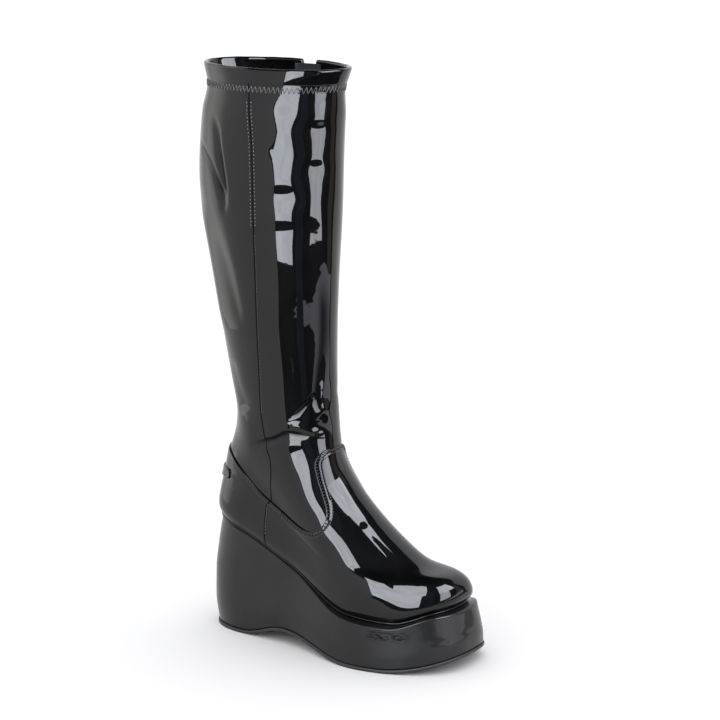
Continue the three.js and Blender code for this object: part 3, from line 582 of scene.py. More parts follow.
def layer(name, rings, turns, field, out, sunk, lip, material, marks=None, **facts):
    """Sheet over the upper, cut along field = 0, with a rounded lip that goes down to sunk.

    marks gives the attributes of its points from (v, turn).
    """
    params, triangles, edges = cut_grid(rings, turns, lambda v, turn: field(v, turn) + lip)
    points = skin(*params.T, out)
    faces = [triangles]
    if len(edges):
        border, flat = np.unique(edges, return_inverse=True)
        flat = flat.reshape(edges.shape)
        v, turn = params[border].T
        step_v, step_t = surface_step(field, v, turn)
        previous = border[flat]
        for angle in (30, 60, 90, None):
            bend = math.radians(angle or 90)
            reach = lip * math.sin(bend)
            height = out - lip * (1 - math.cos(bend)) if angle else sunk
            current = len(points) + flat
            points = np.concatenate([points, skin(v + reach * step_v, turn + reach * step_t, height)])
            params = np.concatenate([params, np.stack([v, turn], 1)])
            faces.append(np.stack([previous[:, 1], previous[:, 0], current[:, 0]], 1))
            faces.append(np.stack([previous[:, 1], current[:, 0], current[:, 1]], 1))
            previous = current
    make_piece(name, points, np.concatenate(faces), material,
               attributes=marks(*params.T) if marks else None, **facts)


def ring_of(x, z):
    return place(np.array([x]), np.array([z]), OUTER)[0][0]


# Fields in side view, negative where a piece is
GALOSH_LINE = smoothed(np.array(GALOSH_EDGE) * [FOOT_LENGTH, ANKLE_HEIGHT], 5)


def galosh_distance(x, z):
    """Distance to the galosh's top edge, negative below it."""
    distance, _, side = nearest(GALOSH_LINE, x, z)
    return distance * side


def zip_x(z):
    share = (z - PLATFORM_HEIGHT) / (BOOT_HEIGHT - PLATFORM_HEIGHT)
    return FOOT_LENGTH * (ZIP_FOOT + (ZIP_TOP - ZIP_FOOT) * share)


ZIP_LOW = feather_height(np.array([zip_x(HEEL_HEIGHT)]))[0] + ZIP_CLEAR_OF_SOLE
ZIP_HIGH = BOOT_HEIGHT - NOTCH_DEPTH - GAP


def slot_distance(x, z, turn):
    """Distance into the zip's slot, with the notch that it opens into at the collar."""
    flare = np.clip((z - (BOOT_HEIGHT - NOTCH_DEPTH)) / (2 * NOTCH_DEPTH), 0, 1)
    half = SLOT_WIDTH / 2 + (NOTCH_WIDTH - SLOT_WIDTH / 2) * flare
    across = half - np.abs(x - zip_x(z))
    inside = np.minimum(across, z - ZIP_LOW)
    return np.where(np.sin(turn) < 0, inside, -50.0)


def on_skin(distance):
    """Field over (v, turn) from one over side view."""
    def field(v, turn):
        point = base_point(v, turn)
        return distance(point[:, 0], point[:, 2], turn)
    return field


galosh_field = on_skin(lambda x, z, turn: np.maximum(galosh_distance(x, z), slot_distance(x, z, turn)))
upper_field = on_skin(slot_distance)

SEAM_LINE = smoothed(SEAM, 4)
# Half width in millimetres of the painted shade along the bottoms of the sharp folds
FOLD_SHADE = 1.6


def fold_shade_mask(x, z, turn):
    """Painted shade: 1 in the bottom of a sharp fold, 0 away from it."""
    side = np.where(np.sin(turn) >= 0, OUTER, INNER)
    mask = np.zeros(len(x))
    for crease in CREASES:
        if crease["depth"] > 0 or min(crease["widths"]) > 3:
            continue
        distance, share, _ = nearest(smoothed(crease["path"], 6), x, z)
        ends = smoothstep(share / 0.3) * smoothstep((1 - share) / 0.25)
        close = np.exp(-((distance / FOLD_SHADE) ** 2)) * np.maximum(ends, 0.1)
        mask = np.where(side == crease["side"], np.maximum(mask, close), mask)
    return mask


def seam_marks(v, turn):
    """Distances to the side seam, the rim and the galosh's edge, and the folds' painted shade."""
    x, _, z = base_point(v, turn).T
    distance, _, side = nearest(SEAM_LINE, x, z)
    top = base_point(np.full(len(v), float(TOP_RING)), turn)[:, 2]
    return {"across_seam": np.where(np.sin(turn) > 0, distance * side, 60.0),
            "below_rim": top - z,
            "below_edge": np.clip(-galosh_distance(x, z), -60, 60),
            # fold holds the painted shade that thins the coat in the bottoms of the folds
            "fold": fold_shade_mask(x, z, turn)}


def tab_distance(x, z, turn):
    """Rounded plate at the back of the heel."""
    middle = (HEEL_TAB["low"] + HEEL_TAB["high"]) / 2
    half_high = (HEEL_TAB["high"] - HEEL_TAB["low"]) / 2 - HEEL_TAB["corner"]
    dx = np.maximum(x - HEEL_TAB["end_x"] + HEEL_TAB["corner"], 0)
    dz = np.maximum(np.abs(z - middle) - half_high, 0)
    return np.hypot(dx, dz) - HEEL_TAB["corner"]


# Materials
class Nodes:
    """One material's shader, with short forms for the nodes round it."""

    def __init__(self, material):
        self.material = material
        self.tree = material.node_tree
        self.shader = next(node for node in self.tree.nodes if node.type in ("BSDF_PRINCIPLED", "EMISSION"))

    def add(self, kind, inputs=(), **settings):
        """Node with its settings. inputs gives a socket's value, or the output to link to it."""
        node = self.tree.nodes.new(kind)
        for key, value in settings.items():
            setattr(node, key, value)
        for key, value in dict(inputs).items():
            if isinstance(value, bpy.types.NodeSocket):
                self.tree.links.new(value, node.inputs[key])
            else:
                node.inputs[key].default_value = value
        return node

    def to(self, output, name):
        """Links an output to one of the shader's sockets."""
        self.tree.links.new(output, self.shader.inputs[name])

    def coords(self):
        """The piece's own coordinates."""
        return self.add("ShaderNodeTexCoord").outputs["Object"]

    def noise(self, size_mm, detail=2.0, stretch=(1, 1, 1)):
        """Noise whose features are about size_mm across."""
        mapping = self.add("ShaderNodeMapping", {"Scale": stretch, "Vector": self.coords()})
        noise = self.add("ShaderNodeTexNoise", {
            "Scale": 1 / (size_mm * MM), "Detail": detail, "Vector": mapping.outputs["Vector"]})
        return noise.outputs["Fac"]

    def math(self, operation, *values):
        return self.add("ShaderNodeMath", enumerate(values), operation=operation).outputs[0]

    def ranged(self, value, low, high, to_low, to_high, kind="LINEAR"):
        node = self.add("ShaderNodeMapRange", {
            "Value": value, "From Min": low, "From Max": high, "To Min": to_low, "To Max": to_high,
        }, interpolation_type=kind)
        return node.outputs["Result"]

    def attribute(self, name):
        return self.add("ShaderNodeAttribute", attribute_name=name).outputs["Fac"]

    def base_color(self, factor, tone, first, second):
        """Base colour between two tints of a tone."""
        node = self.add("ShaderNodeMix", {
            "Factor": factor, "A": (*(tone * part for part in first), 1),
            "B": (*(tone * part for part in second), 1)}, data_type="RGBA")
        self.to(node.outputs["Result"], "Base Color")

    def bump(self, height, depth_mm, *names):
        node = self.add("ShaderNodeBump", {"Strength": 1.0, "Distance": depth_mm * MM, "Height": height})
        for name in names:
            self.to(node.outputs["Normal"], name)


def material_of(name, base, **values):
    """Nodes of a principled material with its uniform values on the shader's own sockets."""
    material = bpy.data.materials.new(name)
    material.use_nodes = True
    nodes = Nodes(material)
    nodes.shader.inputs["Base Color"].default_value = (*base, 1)
    for key, value in values.items():
        nodes.shader.inputs[SOCKETS[key]].default_value = value
    return nodes


SOCKETS = {"rough": "Roughness", "metallic": "Metallic", "specular": "Specular IOR Level",
           "coat": "Coat Weight", "coat_rough": "Coat Roughness", "sheen": "Sheen Weight"}


def patent_material(name, gloss, peel, tone, marked=False, coat=0.76, under=(0.02, 0.38)):
    """Black patent: a dark base under a clear coat with faint orange peel, dust and soft wear.

    under gives the base's own reflection and its roughness. marked adds the side seam, the
    gathers under the hem, and painted shade in the bottoms of the folds and in the seam's groove,
    where the coat is thinned; all read from the piece's own distances.
    """
    specular, rough = under
    nodes = material_of(name, (tone, tone, tone * 1.06), rough=rough, coat=coat, coat_rough=gloss,
                        specular=specular)
    height = nodes.math("ADD", nodes.math("MULTIPLY", nodes.noise(7.0, 1.0), peel),
                        nodes.math("MULTIPLY", nodes.noise(24, 1.0), 2.6 * peel))
    if marked:
        across = nodes.math("ABSOLUTE", nodes.attribute("across_seam"))
        below = nodes.attribute("below_rim")
        edge = nodes.math("ABSOLUTE", nodes.math("SUBTRACT", nodes.attribute("below_edge"), 3.4))
        gathers = nodes.noise(2.4, 1.0, stretch=(1, 1, 0.25))
        near_hem = nodes.math("MULTIPLY", nodes.ranged(below, 12, 14, 0, 1),
                              nodes.ranged(below, 18, 26, 1, 0))
        for part in (nodes.ranged(across, 0.0, 0.7, -0.16, 0.0), nodes.ranged(edge, 0.0, 0.7, -0.2, 0.0),
                     nodes.math("MULTIPLY", nodes.math("MULTIPLY", gathers, near_hem), 0.12)):
            height = nodes.math("ADD", height, part)
        # Painted shade: the coat is thinned in the bottoms of the sharp folds and in the seam's groove
        shade = nodes.math("MAXIMUM", nodes.attribute("fold"), nodes.ranged(across, 0.45, 0.95, 1.0, 0.0))
        nodes.to(nodes.ranged(shade, 0.0, 1.0, coat, 0.12 * coat), "Coat Weight")
    nodes.bump(height, 1.0, "Normal", "Coat Normal")
    wear = nodes.noise(26, 4.0)
    nodes.to(nodes.math("ADD", nodes.ranged(wear, 0.35, 0.7, rough - 0.06, rough + 0.06),
                        nodes.math("MULTIPLY", nodes.noise(0.5, 2.0), 0.05)), "Roughness")
    nodes.base_color(nodes.ranged(wear, 0.4, 0.75, 0, 1), tone, (0.8, 0.8, 0.85), (1.5, 1.45, 1.45))
    return nodes.material


def woven_material(name, tone, pitch_mm, depth_mm):
    """Matte woven textile: two crossed sets of threads."""
    nodes = material_of(name, (tone, tone, tone * 1.08), rough=0.85, specular=0.25, sheen=0.15)
    waves = [nodes.add("ShaderNodeTexWave", {
        "Scale": 1 / (pitch_mm * MM) / 3.2, "Distortion": 0.6, "Vector": nodes.coords(),
    }, wave_type="BANDS", bands_direction=axis) for axis in ("X", "Z")]
    weave = nodes.math("MAXIMUM", *(wave.outputs["Fac"] for wave in waves))
    nodes.bump(weave, depth_mm, "Normal")
    shade = nodes.math("MULTIPLY", weave, nodes.ranged(nodes.noise(4, 3.0), 0.3, 0.7, 0.6, 1.0))
    nodes.base_color(shade, tone, (0.45, 0.45, 0.5), (1.4, 1.4, 1.5))
    return nodes.material


def rubber_material(name, tone):
    nodes = material_of(name, (tone, tone, tone), rough=0.55, specular=0.4)
    blotch = nodes.noise(18, 3.0)
    nodes.bump(nodes.noise(0.7, 3.0), 0.06, "Normal")
    nodes.to(nodes.ranged(blotch, 0.3, 0.7, 0.45, 0.65), "Roughness")
    nodes.base_color(blotch, tone, (0.7, 0.7, 0.7), (1.5, 1.5, 1.55))
    return nodes.material


def thread_material(name, tone):
    """Waxed thread with a fine twist."""
    nodes = material_of(name, (tone, tone, tone * 1.05), rough=0.38, coat=0.3, coat_rough=0.2)
    twist = nodes.noise(0.35, 1.0, stretch=(1, 1, 2.5))
    nodes.bump(twist, 0.05, "Normal")
    nodes.base_color(twist, tone, (0.6, 0.6, 0.6), (1.6, 1.6, 1.7))
    return nodes.material


def lacquer_material(name, tone):
    """Black lacquered metal with fine rubbed scratches."""
    nodes = material_of(name, (tone, tone, tone), rough=0.22, coat=0.6, coat_rough=0.08, specular=0.6,
                        metallic=0.35)
    scratch = nodes.noise(1.6, 4.0, stretch=(1, 1, 0.2))
    nodes.bump(scratch, 0.02, "Normal")
    nodes.to(nodes.ranged(scratch, 0.4, 0.7, 0.16, 0.34), "Roughness")
    nodes.base_color(nodes.ranged(scratch, 0.5, 0.75, 0, 1), tone, (1, 1, 1), (2.4, 2.4, 2.5))
    return nodes.material


SOLE_COAT = 0.38
SOLE_SPECULAR = 0.22
DARK_PATCH = {"X": (0.176, 0.019), "Z": (0.0322, 0.0048)}  # middle and half size in the frame's metres
patent = patent_material("patent_upper_mat", 0.02, 0.022, 0.0022, marked=True)
plain_patent = patent_material("patent_trim_mat", 0.03, 0.03, 0.0025)
sole_patent = patent_material("patent_sole_mat", 0.05, 0.03, 0.005, coat=SOLE_COAT,
                              under=(SOLE_SPECULAR, 0.37))
rubber = rubber_material("outsole_rubber_mat", 0.02)
lining = woven_material("insole_lining_mat", 0.03, 0.9, 0.12)
tape = woven_material("zip_textile_mat", 0.03, 0.7, 0.15)
thread = thread_material("thread_mat", 0.02)
pale_thread = thread_material("pale_thread_mat", 0.045)
lacquer = lacquer_material("slider_metal_mat", 0.02)


def add_dark_patch(nodes):
    """Patch with ragged edges on the outer side of the platform, where the coat and the base's reflection
    fade out so that it shows darker.
    """
    place_of = nodes.add("ShaderNodeSeparateXYZ", {"Vector": nodes.coords()}).outputs
    mask = nodes.ranged(nodes.noise(2.2, 5.0, stretch=(0.5, 0.5, 1.6)), 0.46, 0.56, 0, 1)
    for axis, (middle, half) in DARK_PATCH.items():
        away = nodes.math("ABSOLUTE", nodes.math("SUBTRACT", place_of[axis], middle))
        mask = nodes.math("MULTIPLY", mask, nodes.ranged(away, 0.5 * half, half, 1, 0))
    mask = nodes.math("MULTIPLY", mask, nodes.ranged(place_of["Y"], -0.02, 0.0, 1, 0))
    nodes.to(nodes.ranged(mask, 0, 1, SOLE_COAT, 0.02), "Coat Weight")
    nodes.to(nodes.ranged(mask, 0, 1, SOLE_SPECULAR, 0.0), "Specular IOR Level")


add_dark_patch(Nodes(sole_patent))


# Upper, galosh, heel tab and lining
def spaced(places, steps):
    """Numbers from the first place to the last, with a number of steps between each two."""
    parts = [np.linspace(low, high, count, endpoint=False)
             for low, high, count in zip(places, places[1:], steps)]
    return np.concatenate([*parts, places[-1:]])


# More rows where the patent is creased
upper_rings = spaced([0, 4, 7.5, 11, TOP_RING], [8, 45, 133, 129])
upper_turns = spaced([0, 1.3, 3.3, 2 * np.pi], [44, 140, 105])
layer("upper_patent", upper_rings, upper_turns, upper_field, 0.0, -WALL, 0.4, patent,
      marks=seam_marks, replaces=["upper"], slot="patent_upper")
layer("galosh_patent", spaced([0, 1, 8.6], [13, 129]), np.linspace(0, 2 * np.pi, 301), galosh_field,
      GALOSH_OUT, -0.2, 0.6, patent, marks=seam_marks, replaces=["galosh"], slot="patent_upper")

tab_rings = np.linspace(ring_of(20, HEEL_TAB["low"] - 8), ring_of(20, HEEL_TAB["high"] + 8), 60)
layer("heel_tab_plate", tab_rings, np.linspace(-np.pi / 3, np.pi / 3, 160), on_skin(tab_distance),
      GALOSH_OUT + GAP + HEEL_TAB_THICKNESS, GALOSH_OUT - 0.1, 0.5, plain_patent,
      replaces=["heel_tab"], slot="patent_upper")

lined, lining_faces, _ = cut_grid(np.linspace(0.15, TOP_RING - 0.3, 120), np.linspace(0, 2 * np.pi, 161),
                                  upper_field)
make_piece("lining_fabric", skin(*lined.T, -WALL), lining_faces[:, ::-1], lining, slot="insole_lining")


# Hem: a folded band over the upper's edge, outside and inside
def hem_profile():
    """(height below the rim, distance out from the wall) round the band's section."""
    outer = COLLAR_LIFT
    inner = -WALL - COLLAR_LIFT
    centre = (outer + inner) / 2
    radius = (outer - inner) / 2
    rows = [(COLLAR_HEIGHT - 0.6, 0.0), (COLLAR_HEIGHT, 0.02), (COLLAR_HEIGHT, 0.2),
            (COLLAR_HEIGHT - 0.35, 0.35)]
    rows += [(height, outer - 0.85 * height / COLLAR_HEIGHT)
             for height in np.linspace(COLLAR_HEIGHT - 1, radius, 9)]
    for angle in range(15, 180, 15):
        bend = math.radians(angle)
        rows.append((radius - radius * math.sin(bend), centre + radius * math.cos(bend)))
    rows += [(height, inner) for height in np.linspace(radius, COLLAR_HEIGHT - 1, 8)]
    rows += [(COLLAR_HEIGHT, inner + 0.5), (COLLAR_HEIGHT - 0.5, -WALL + 0.1)]
    return [*rows, rows[0]]


def make_hem():
    around = np.linspace(0, 2 * np.pi, 321)
    top = skin(np.full(len(around), float(TOP_RING)), around, 0)
    wobble = 0.12 * np.sin(around * 9) + 0.08 * np.sin(around * 23 + 1)
    rows = []
    for height, out in hem_profile():
        ring = skin(ring_below(max(0.0, height - COLLAR_LIFT), around), around, out)
        ring[:, 2] = top[:, 2] + COLLAR_LIFT - height + wobble * (1 if height > COLLAR_HEIGHT / 2 else 0.6)
        rows.append(ring)
    data = np.concatenate(rows)
    field = slot_distance(data[:, 0], data[:, 2], np.tile(around, len(rows)))
    data, triangles, _ = cut(data, grid_triangles(len(rows), len(around)), field)
    make_piece("collar_hem", data, triangles[:, ::-1], plain_patent, replaces=["collar_band"],
               slot="patent_upper", fill_holes=True)


make_hem()

# Sole
SOLE_TURNS = np.linspace(0, 2 * np.pi, 301)
SOLE_ZEROS = np.zeros(len(SOLE_TURNS))


def sole_outline(share, lip):
    """Plan of the wedge at a share of its thickness, moved out by a lip."""
    widest = {name: RINGS[1][name] for name in COLUMN_NAMES}
    part = {name: cubic(SOLE_LOOPS["height"], values, np.array([share]))[0] * LEDGE
            for name, values in SOLE_LOOPS.items()}
    widest["back"] -= part["back"] + lip
    widest["front"] += part["front"] + lip
    for name in WIDTH_NAMES:
        widest[name] += part[name] + lip
    _, x, y = loop_points(widest, SOLE_TURNS)
    return x, y


def closed_shell(name, rows, material, **facts):
    """Piece through loops of the sole, closed at both ends by rungs from side to side."""
    n = len(SOLE_TURNS)
    rungs = np.array([(i, i + 1, n - 2 - i, n - 1 - i) for i in range(1, n // 2 - 1)])
    faces = [*grid_triangles(len(rows), n), *(rungs + (len(rows) - 1) * n), *rungs[:, ::-1]]
    make_piece(name, np.concatenate(rows), faces, material, **facts)


def make_wedge():
    rows = []
    for share in [0, 0.012, 0.03, *np.linspace(0.06, 1, 34)]:
        x, y = sole_outline(share, -0.5 * (1 - share / 0.03) ** 2 if share < 0.03 else 0)
        low = underside_height(x) + OUTSOLE_THICKNESS + GAP
        high = feather_height(x) - EDGE_DROP
        rows.append(np.stack([x, y, low + (high - low) * share], 1))
    edge = rows[-1]
    inner = skin(SOLE_ZEROS, SOLE_TURNS, -WALL / 2)
    for bend in np.radians(np.linspace(6, 90, 14)):
        flat = edge + (inner - edge) * (1 - math.cos(bend) ** CORNER)
        flat[:, 2] = feather_height(flat[:, 0]) - EDGE_DROP * (1 - math.sin(bend) ** CORNER)
        rows.append(flat)
    closed_shell("wedge_patent", rows, sole_patent, replaces=["wedge_platform"], slot="patent_sole")


def make_outsole():
    rows = []
    sections = [(0.4, -1.6), (0, -0.9), (0, -0.4), (0.25, 0), (0.6, 0.0), (0.85, 0), (1, -0.35), (1, -1.2)]
    for height, lip in sections:
        x, y = sole_outline(0, OUTSOLE_LIP + lip)
        rows.append(np.stack([x, y, underside_height(x) + OUTSOLE_THICKNESS * height], 1))
    closed_shell("outsole_rubber_sheet", rows, rubber, replaces=["outsole"], slot="outsole_rubber")


def make_rand():
    """Thin rounded strip between the upper's edge and the sole."""
    edge = GALOSH_OUT + RAND_PROUD
    section = [(-WALL, 0.1), (edge - 0.6, 0.0), (edge - 0.15, 0.15), (edge, 0.5), (edge, 0.9),
               (edge - 0.15, 1.25), (edge - 0.6, RAND_THICKNESS), (-WALL, RAND_THICKNESS)]
    rows = []
    for out, height in [*section, section[0]]:
        ring = skin(SOLE_ZEROS, SOLE_TURNS, out)
        ring[:, 2] = feather_height(ring[:, 0]) + GAP + height
        rows.append(ring)
    make_piece("rand_strip", np.concatenate(rows), grid_triangles(len(rows), len(SOLE_TURNS)),
               sole_patent, replaces=["rand"], slot="patent_sole")


make_wedge()
make_outsole()
make_rand()


# Zip
def strip(name, low, high, section, material, **facts):
    """Strip along the zip. section gives (place across it, distance out) round it."""
    heights = np.linspace(low, high, 160)
    rows = [skin(*place(zip_x(heights) + across, heights, INNER), out) for across, out in section]
    make_piece(name, np.concatenate(rows), grid_triangles(len(rows), len(heights)), material, **facts)


half_tape = TAPE_WIDTH / 2
strip("zip_tape", ZIP_LOW - 1, ZIP_HIGH, [
    (-half_tape, -1.2), (-3, -TAPE_DEPTH), (-1.2, 0.1 - TAPE_DEPTH), (0, 0.1 - TAPE_DEPTH),
    (1.2, 0.1 - TAPE_DEPTH), (3, -TAPE_DEPTH), (half_tape, -1.2),
], tape, replaces=["zip_chain"], slot="zip_textile")
half_guard = GUARD_WIDTH / 2
guard_out = -WALL - COLLAR_LIFT - GAP
inward = [(across, guard_out - GUARD_THICKNESS) for across in (-half_guard, -6, 0, 6, half_guard)]
outward = [(across, guard_out) for across in (half_guard, 6, 0, -6, -half_guard)]
strip("zip_guard_fabric", ZIP_LOW + half_guard, BOOT_HEIGHT - 3, [outward[-1], *inward, *outward], lining,
      replaces=["zip_guard"], slot="zip_textile")

# Small rounded bars, for stitches and teeth: (share of the length, share of the radius)
BAR_PROFILE = [(0.0, 0.45), (0.14, 0.85), (0.35, 1.0), (0.65, 1.0), (0.86, 0.85), (1.0, 0.45)]
BAR_SIDES = 6


def bars(name, starts, ends, radius, material, slot="patent_upper"):
    """One joined mesh of rounded bars from starts to ends."""
    span = ends - starts
    along = span / np.maximum(np.linalg.norm(span, axis=1)[:, None], 1e-6)
    u = np.cross(along, np.where(np.abs(along[:, 1:2]) < 0.9, [[0, 1, 0]], [[1, 0, 0]]))
    u /= np.linalg.norm(u, axis=1)[:, None]
    w = np.cross(along, u)
    rings = []
    for share, size in BAR_PROFILE:
        for angle in 2 * np.pi * np.arange(BAR_SIDES) / BAR_SIDES:
            across = u * math.cos(angle) + w * math.sin(angle)
            rings.append(starts + span * share + across * radius * size)
    i = np.arange(BAR_SIDES)
    j = (i + 1) % BAR_SIDES
    walls = [np.stack([i, j, j + BAR_SIDES, i + BAR_SIDES], 1) + ring * BAR_SIDES
             for ring in range(len(BAR_PROFILE) - 1)]
    caps = np.stack([i[::-1], i + (len(BAR_PROFILE) - 1) * BAR_SIDES])
    first = len(rings) * np.arange(len(starts))[:, None, None]
    faces = [*(np.concatenate(walls) + first).reshape(-1, 4), *(caps + first).reshape(-1, BAR_SIDES)]
    make_piece(name, np.stack(rings, 1).reshape(-1, 3), faces, material, slot=slot, weld=0)


def lengths_of(path):
    """Length of a path up to each of its points."""
    return np.concatenate([[0], np.cumsum(np.linalg.norm(np.diff(path, axis=0), axis=1))])


def points_at(path, lengths, at):
    return np.stack([np.interp(at, lengths, column) for column in path.T], 1)


def offset_path(path, distance):
    """Path in side view moved to its left by a distance."""
    along = np.gradient(path, axis=0)
    along /= np.linalg.norm(along, axis=1)[:, None]
    return path + np.stack([-along[:, 1], along[:, 0]], 1) * distance


def stitch_rows(name, rows, radius, surface):
    """rows holds (path in side view, side, distance out, pitch, stitch length)."""
    starts, ends = [], []
    for path, side, out, pitch, length in rows:
        line = skin(*place(*path.T, side), out)
        lengths = lengths_of(line)
        at = points_at(line, lengths, np.arange(pitch / 2, lengths[-1], pitch))
        direction = np.gradient(at, axis=0)
        direction /= np.linalg.norm(direction, axis=1)[:, None]
        starts.append(at - direction * length / 2)
        ends.append(at + direction * length / 2)
    bars(name, np.concatenate(starts), np.concatenate(ends), radius, surface)


def seam_part(low, high):
    return SEAM_LINE[(SEAM_LINE[:, 1] > low) & (SEAM_LINE[:, 1] < high)]


stitch_rows("seam_stitches", [
    (offset_path(seam_part(359, 478), 1.9), OUTER, 0.2, 3.1, 1.7),
    (offset_path(seam_part(359, 478), -1.9), OUTER, 0.2, 3.1, 1.7),
    (offset_path(seam_part(92, 124), 0.9), OUTER, GALOSH_OUT + 0.15, 2.9, 1.7),
], 0.5, pale_thread)
stitch_rows("seam_low_stitches", [
    (offset_path(seam_part(196, 360), 1.0), OUTER, 0.0, 3.0, 1.6)], 0.32, thread)

galosh_seen = GALOSH_LINE[(GALOSH_LINE[:, 0] > 84) & (GALOSH_LINE[:, 0] < 133)]
RIB_PITCH = 2.7


def make_ribs():
    """Thick overcast stitches across the front edge of the galosh."""
    starts, ends = [], []
    for side in (OUTER, INNER):
        rows = [skin(*place(*offset_path(galosh_seen, distance).T, side), GALOSH_OUT + 0.12)
                for distance in (-0.7, -3.1)]
        lengths = lengths_of(rows[0])
        for row, found in zip(rows, (starts, ends)):
            found.append(points_at(row, lengths, np.arange(1, lengths[-1], RIB_PITCH)))
    bars("galosh_ribs", np.concatenate(starts), np.concatenate(ends), 0.7, plain_patent)


make_ribs()
stitch_rows("galosh_second_row", [
    (offset_path(galosh_seen, -4.4), side, GALOSH_OUT + 0.08, 2.5, 2.0) for side in (OUTER, INNER)
], 0.36, thread)

zip_heights = np.linspace(ZIP_LOW + 2, BOOT_HEIGHT - NOTCH_DEPTH - 6, 200)
zip_rows = []
for across in (-SLOT_WIDTH / 2 - 1.6, SLOT_WIDTH / 2 + 1.6):
    path = np.stack([zip_x(zip_heights) + across, zip_heights], 1)
    distance = galosh_distance(*path.T)
    zip_rows.append((path[distance < -1.5], INNER, GALOSH_OUT + 0.1, 2.8, 2.0))
    zip_rows.append((path[distance > 1.5], INNER, 0.1, 2.8, 2.0))
stitch_rows("zip_stitches", zip_rows, 0.34, pale_thread)

# Zigzag stitch under the hem
ZIGZAG = {"pitch": 3.9, "high": 5.6, "top": 14.4, "radius": 0.36}


def make_zigzag():
    around = np.linspace(0, 2 * np.pi, 1200)
    lengths = lengths_of(skin(ring_below(ZIGZAG["top"], around), around, 0))
    count = int(lengths[-1] / ZIGZAG["pitch"]) * 2
    at = np.interp(np.linspace(0, lengths[-1], count + 1), lengths, around)
    drop = ZIGZAG["top"] - COLLAR_LIFT + np.where(np.arange(count + 1) % 2 == 0, 0, ZIGZAG["high"])
    points = skin(ring_below(drop, at), at, 0.08)
    middle = (points[1:] + points[:-1]) / 2
    kept = slot_distance(middle[:, 0], middle[:, 2], (at[1:] + at[:-1]) / 2) < -1.5
    bars("hem_zigzag", points[:-1][kept], points[1:][kept], ZIGZAG["radius"], pale_thread)


def make_teeth():
    """Coil of the closed zip: one rounded tooth after the other, from both tapes."""
    heights = np.arange(ZIP_LOW + 1.5, ZIP_HIGH - 1, TOOTH_PITCH / 2)
    even = np.arange(len(heights)) % 2 == 0
    half = TOOTH_WIDTH / 2
    starts, ends = (skin(*place(zip_x(heights) + across, heights, INNER), -TAPE_DEPTH + 0.75)
                    for across in (-half * np.where(even, 1.0, 0.35), half * np.where(even, 0.35, 1.0)))
    bars("zip_teeth", starts, ends, 0.42, lacquer, slot="zip_textile")


make_zigzag()
make_teeth()

# Nodes that stay as they are
for node, surface in (("insole", lining), ("zip_slider", lacquer), ("zip_pull", lacquer)):
    kept_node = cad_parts[node]
    kept_node.data.materials.clear()
    kept_node.data.materials.append(surface)
    if surface is lacquer:
        edge = kept_node.modifiers.new("rounded", "BEVEL")
        edge.width = 0.3 * MM
        edge.segments = 3
        edge.angle_limit = math.radians(30)
        edge.harden_normals = False


# Light: a white surround with a dark wall to the camera's right and tall soft boxes
CAMERA = {"turn": 35.45, "distance": 1879.93, "height": 688.84, "pan": -0.90, "tilt": 13.18,
          "focal": 2275.81, "middle": 110.0, "image": 720}
CAMERA_MIDDLE = CAMERA["middle"] - HEEL_REST * FOOT_LENGTH
SURROUND = 1.17
CARD_STEPS = 24
CEILING = 1600
FLOOR_REACH = 6000


def surround(color, strength):
    world = bpy.data.worlds.new("white_surround")
    world.use_nodes = True
    shader = world.node_tree.nodes["Background"]
    shader.inputs["Color"].default_value = (*color, 1)
    shader.inputs["Strength"].default_value = strength
    bpy.context.scene.world = world


def emission(name, color, strength):
    material = bpy.data.materials.new(name)
    material.use_nodes = True
    tree = material.node_tree
    tree.nodes.remove(tree.nodes["Principled BSDF"])
    shader = tree.nodes.new("ShaderNodeEmission")
    shader.inputs["Color"].default_value = (*color, 1)
    shader.inputs["Strength"].default_value = strength
    tree.links.new(shader.outputs["Emission"], tree.nodes["Material Output"].inputs["Surface"])
    return Nodes(material)


def soft_box(name, color, strength):
    """Emission with the faint unevenness of a soft box."""
    nodes = emission(name, color, strength)
    cloth = nodes.noise(160, 2.0, stretch=(1, 1, 0.6))
    nodes.to(nodes.ranged(cloth, 0.3, 0.7, 0.82 * strength, 1.1 * strength), "Strength")
    return nodes


def glow(name, color, low, high):
    """Emission that swells from the ends of a card to its middle."""
    nodes = emission(name, color, low)
    away = nodes.math("ABSOLUTE", nodes.math("SUBTRACT", nodes.attribute("along"), 0.5))
    nodes.to(nodes.ranged(away, 0.5, 0.1, low, high, "SMOOTHSTEP"), "Strength")
    return nodes


def staged(name, points, faces, nodes):
    thing = mesh_object(name, points, faces, nodes.material)
    return thing


def only_reflected(thing):
    """The card shows in reflections and nowhere else."""
    thing.visible_camera = False
    thing.visible_diffuse = False
    thing.visible_shadow = False
    thing.visible_transmission = False


def band(name, nodes, turns, *edges):
    """Strip round the boot between two edges, each (radius, height).

    Turns are counted from the camera's side to its right.
    """
    angles = np.radians(CAMERA["turn"] + np.asarray(turns))
    rows = [np.stack([CAMERA_MIDDLE + radius * np.sin(angles), -radius * np.cos(angles),
                      np.broadcast_to(height, len(angles))], 1) for radius, height in edges]
    n = len(angles)
    made = staged(name, np.concatenate(rows), [(i, i + 1, n + i + 1, n + i) for i in range(n - 1)], nodes)
    along = made.data.attributes.new("along", "FLOAT", "POINT")
    along.data.foreach_set("value", np.tile(np.linspace(0, 1, n), 2).astype(np.float32))
    only_reflected(made)


def square(name, reach, height, nodes):
    corners = [(x * reach, y * reach, height) for x, y in ((-1, -1), (1, -1), (1, 1), (-1, 1))]
    return staged(name, corners, [(0, 1, 2, 3)], nodes)


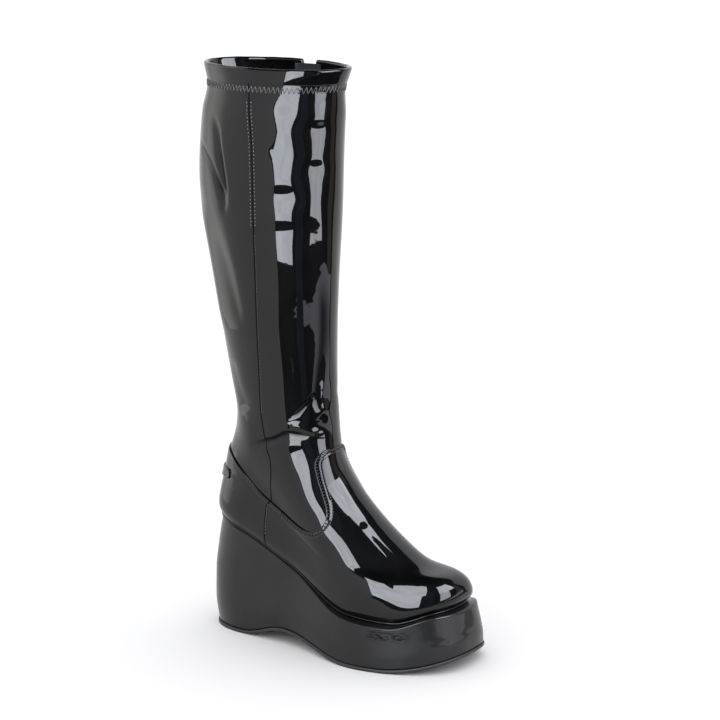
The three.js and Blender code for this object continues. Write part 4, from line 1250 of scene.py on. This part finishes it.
surround((0.98, 0.99, 1.05), SURROUND)
dark = emission("dark_wall_mat", (0.5, 0.6, 1.0), 0.03)
soft_white = soft_box("soft_box_mat", (0.92, 0.97, 1.04), 12.5)
soft_grey = soft_box("soft_box_side_mat", (0.95, 0.96, 1.05), 9.5)
navy = emission("navy_board_mat", (0.4, 0.7, 1.0), 0.25)
brown = emission("brown_board_mat", (1.0, 0.8, 0.6), 0.45)
warm = glow("warm_band_mat", (1.0, 0.985, 0.97), SURROUND, 2.0)
grey = emission("low_board_mat", (0.92, 0.9, 1.05), 1.9)

# Cards: name, glow, radius, turns and heights
for card, shine, radius, turns, heights in [
    ("dark_wall", dark, 900, (-28, 104), (-5, CEILING)),
    ("soft_box_near", soft_white, 860, (-27, -1), (90, 1550)),
    ("navy_board", navy, 860, (5, 18), (0, 900)),
    ("soft_box_side", soft_grey, 860, (33, 62), (135, 520)),
    ("soft_box_high", soft_white, 860, (31, 84), (520, 1500)),
    ("brown_board", brown, 860, (82, 97), (0, 700)),
    ("warm_band", warm, 900, (-132, -92), (-5, CEILING)),
]:
    band(card, shine, np.linspace(*turns, CARD_STEPS), *((radius, height) for height in heights))
band("dark_floor", dark, np.linspace(-28, 104, CARD_STEPS), (480, 1), (900, 1))
band("low_board", grey, [-15, 5, 20, 37, 53, 71, 100], (870, -3), (870, [0, 8, 15, 25, 58, 95, 95]))
only_reflected(square("dark_ceiling", 1500, CEILING, dark))
square("floor", FLOOR_REACH, 0, material_of("floor_mat", (0.975, 0.965, 0.925), rough=0.9, specular=0.1))


# Camera at the photograph's angle
def make_camera():
    turn = math.radians(CAMERA["turn"])
    camera = bpy.data.cameras.new("camera")
    camera.sensor_width = 36
    camera.lens = CAMERA["focal"] / CAMERA["image"] * camera.sensor_width
    camera.clip_start = 0.05
    camera.clip_end = 50
    seen = bpy.data.objects.new("camera", camera)
    bpy.context.scene.collection.objects.link(seen)
    x = CAMERA_MIDDLE + math.sin(turn) * CAMERA["distance"]
    y = -math.cos(turn) * CAMERA["distance"]
    seen.location = (x * MM, y * MM, CAMERA["height"] * MM)
    seen.rotation_euler = (math.radians(90 - CAMERA["tilt"]), 0, turn + math.radians(CAMERA["pan"]))
    bpy.context.scene.camera = seen


make_camera()
bpy.context.scene.view_settings.view_transform = "Standard"
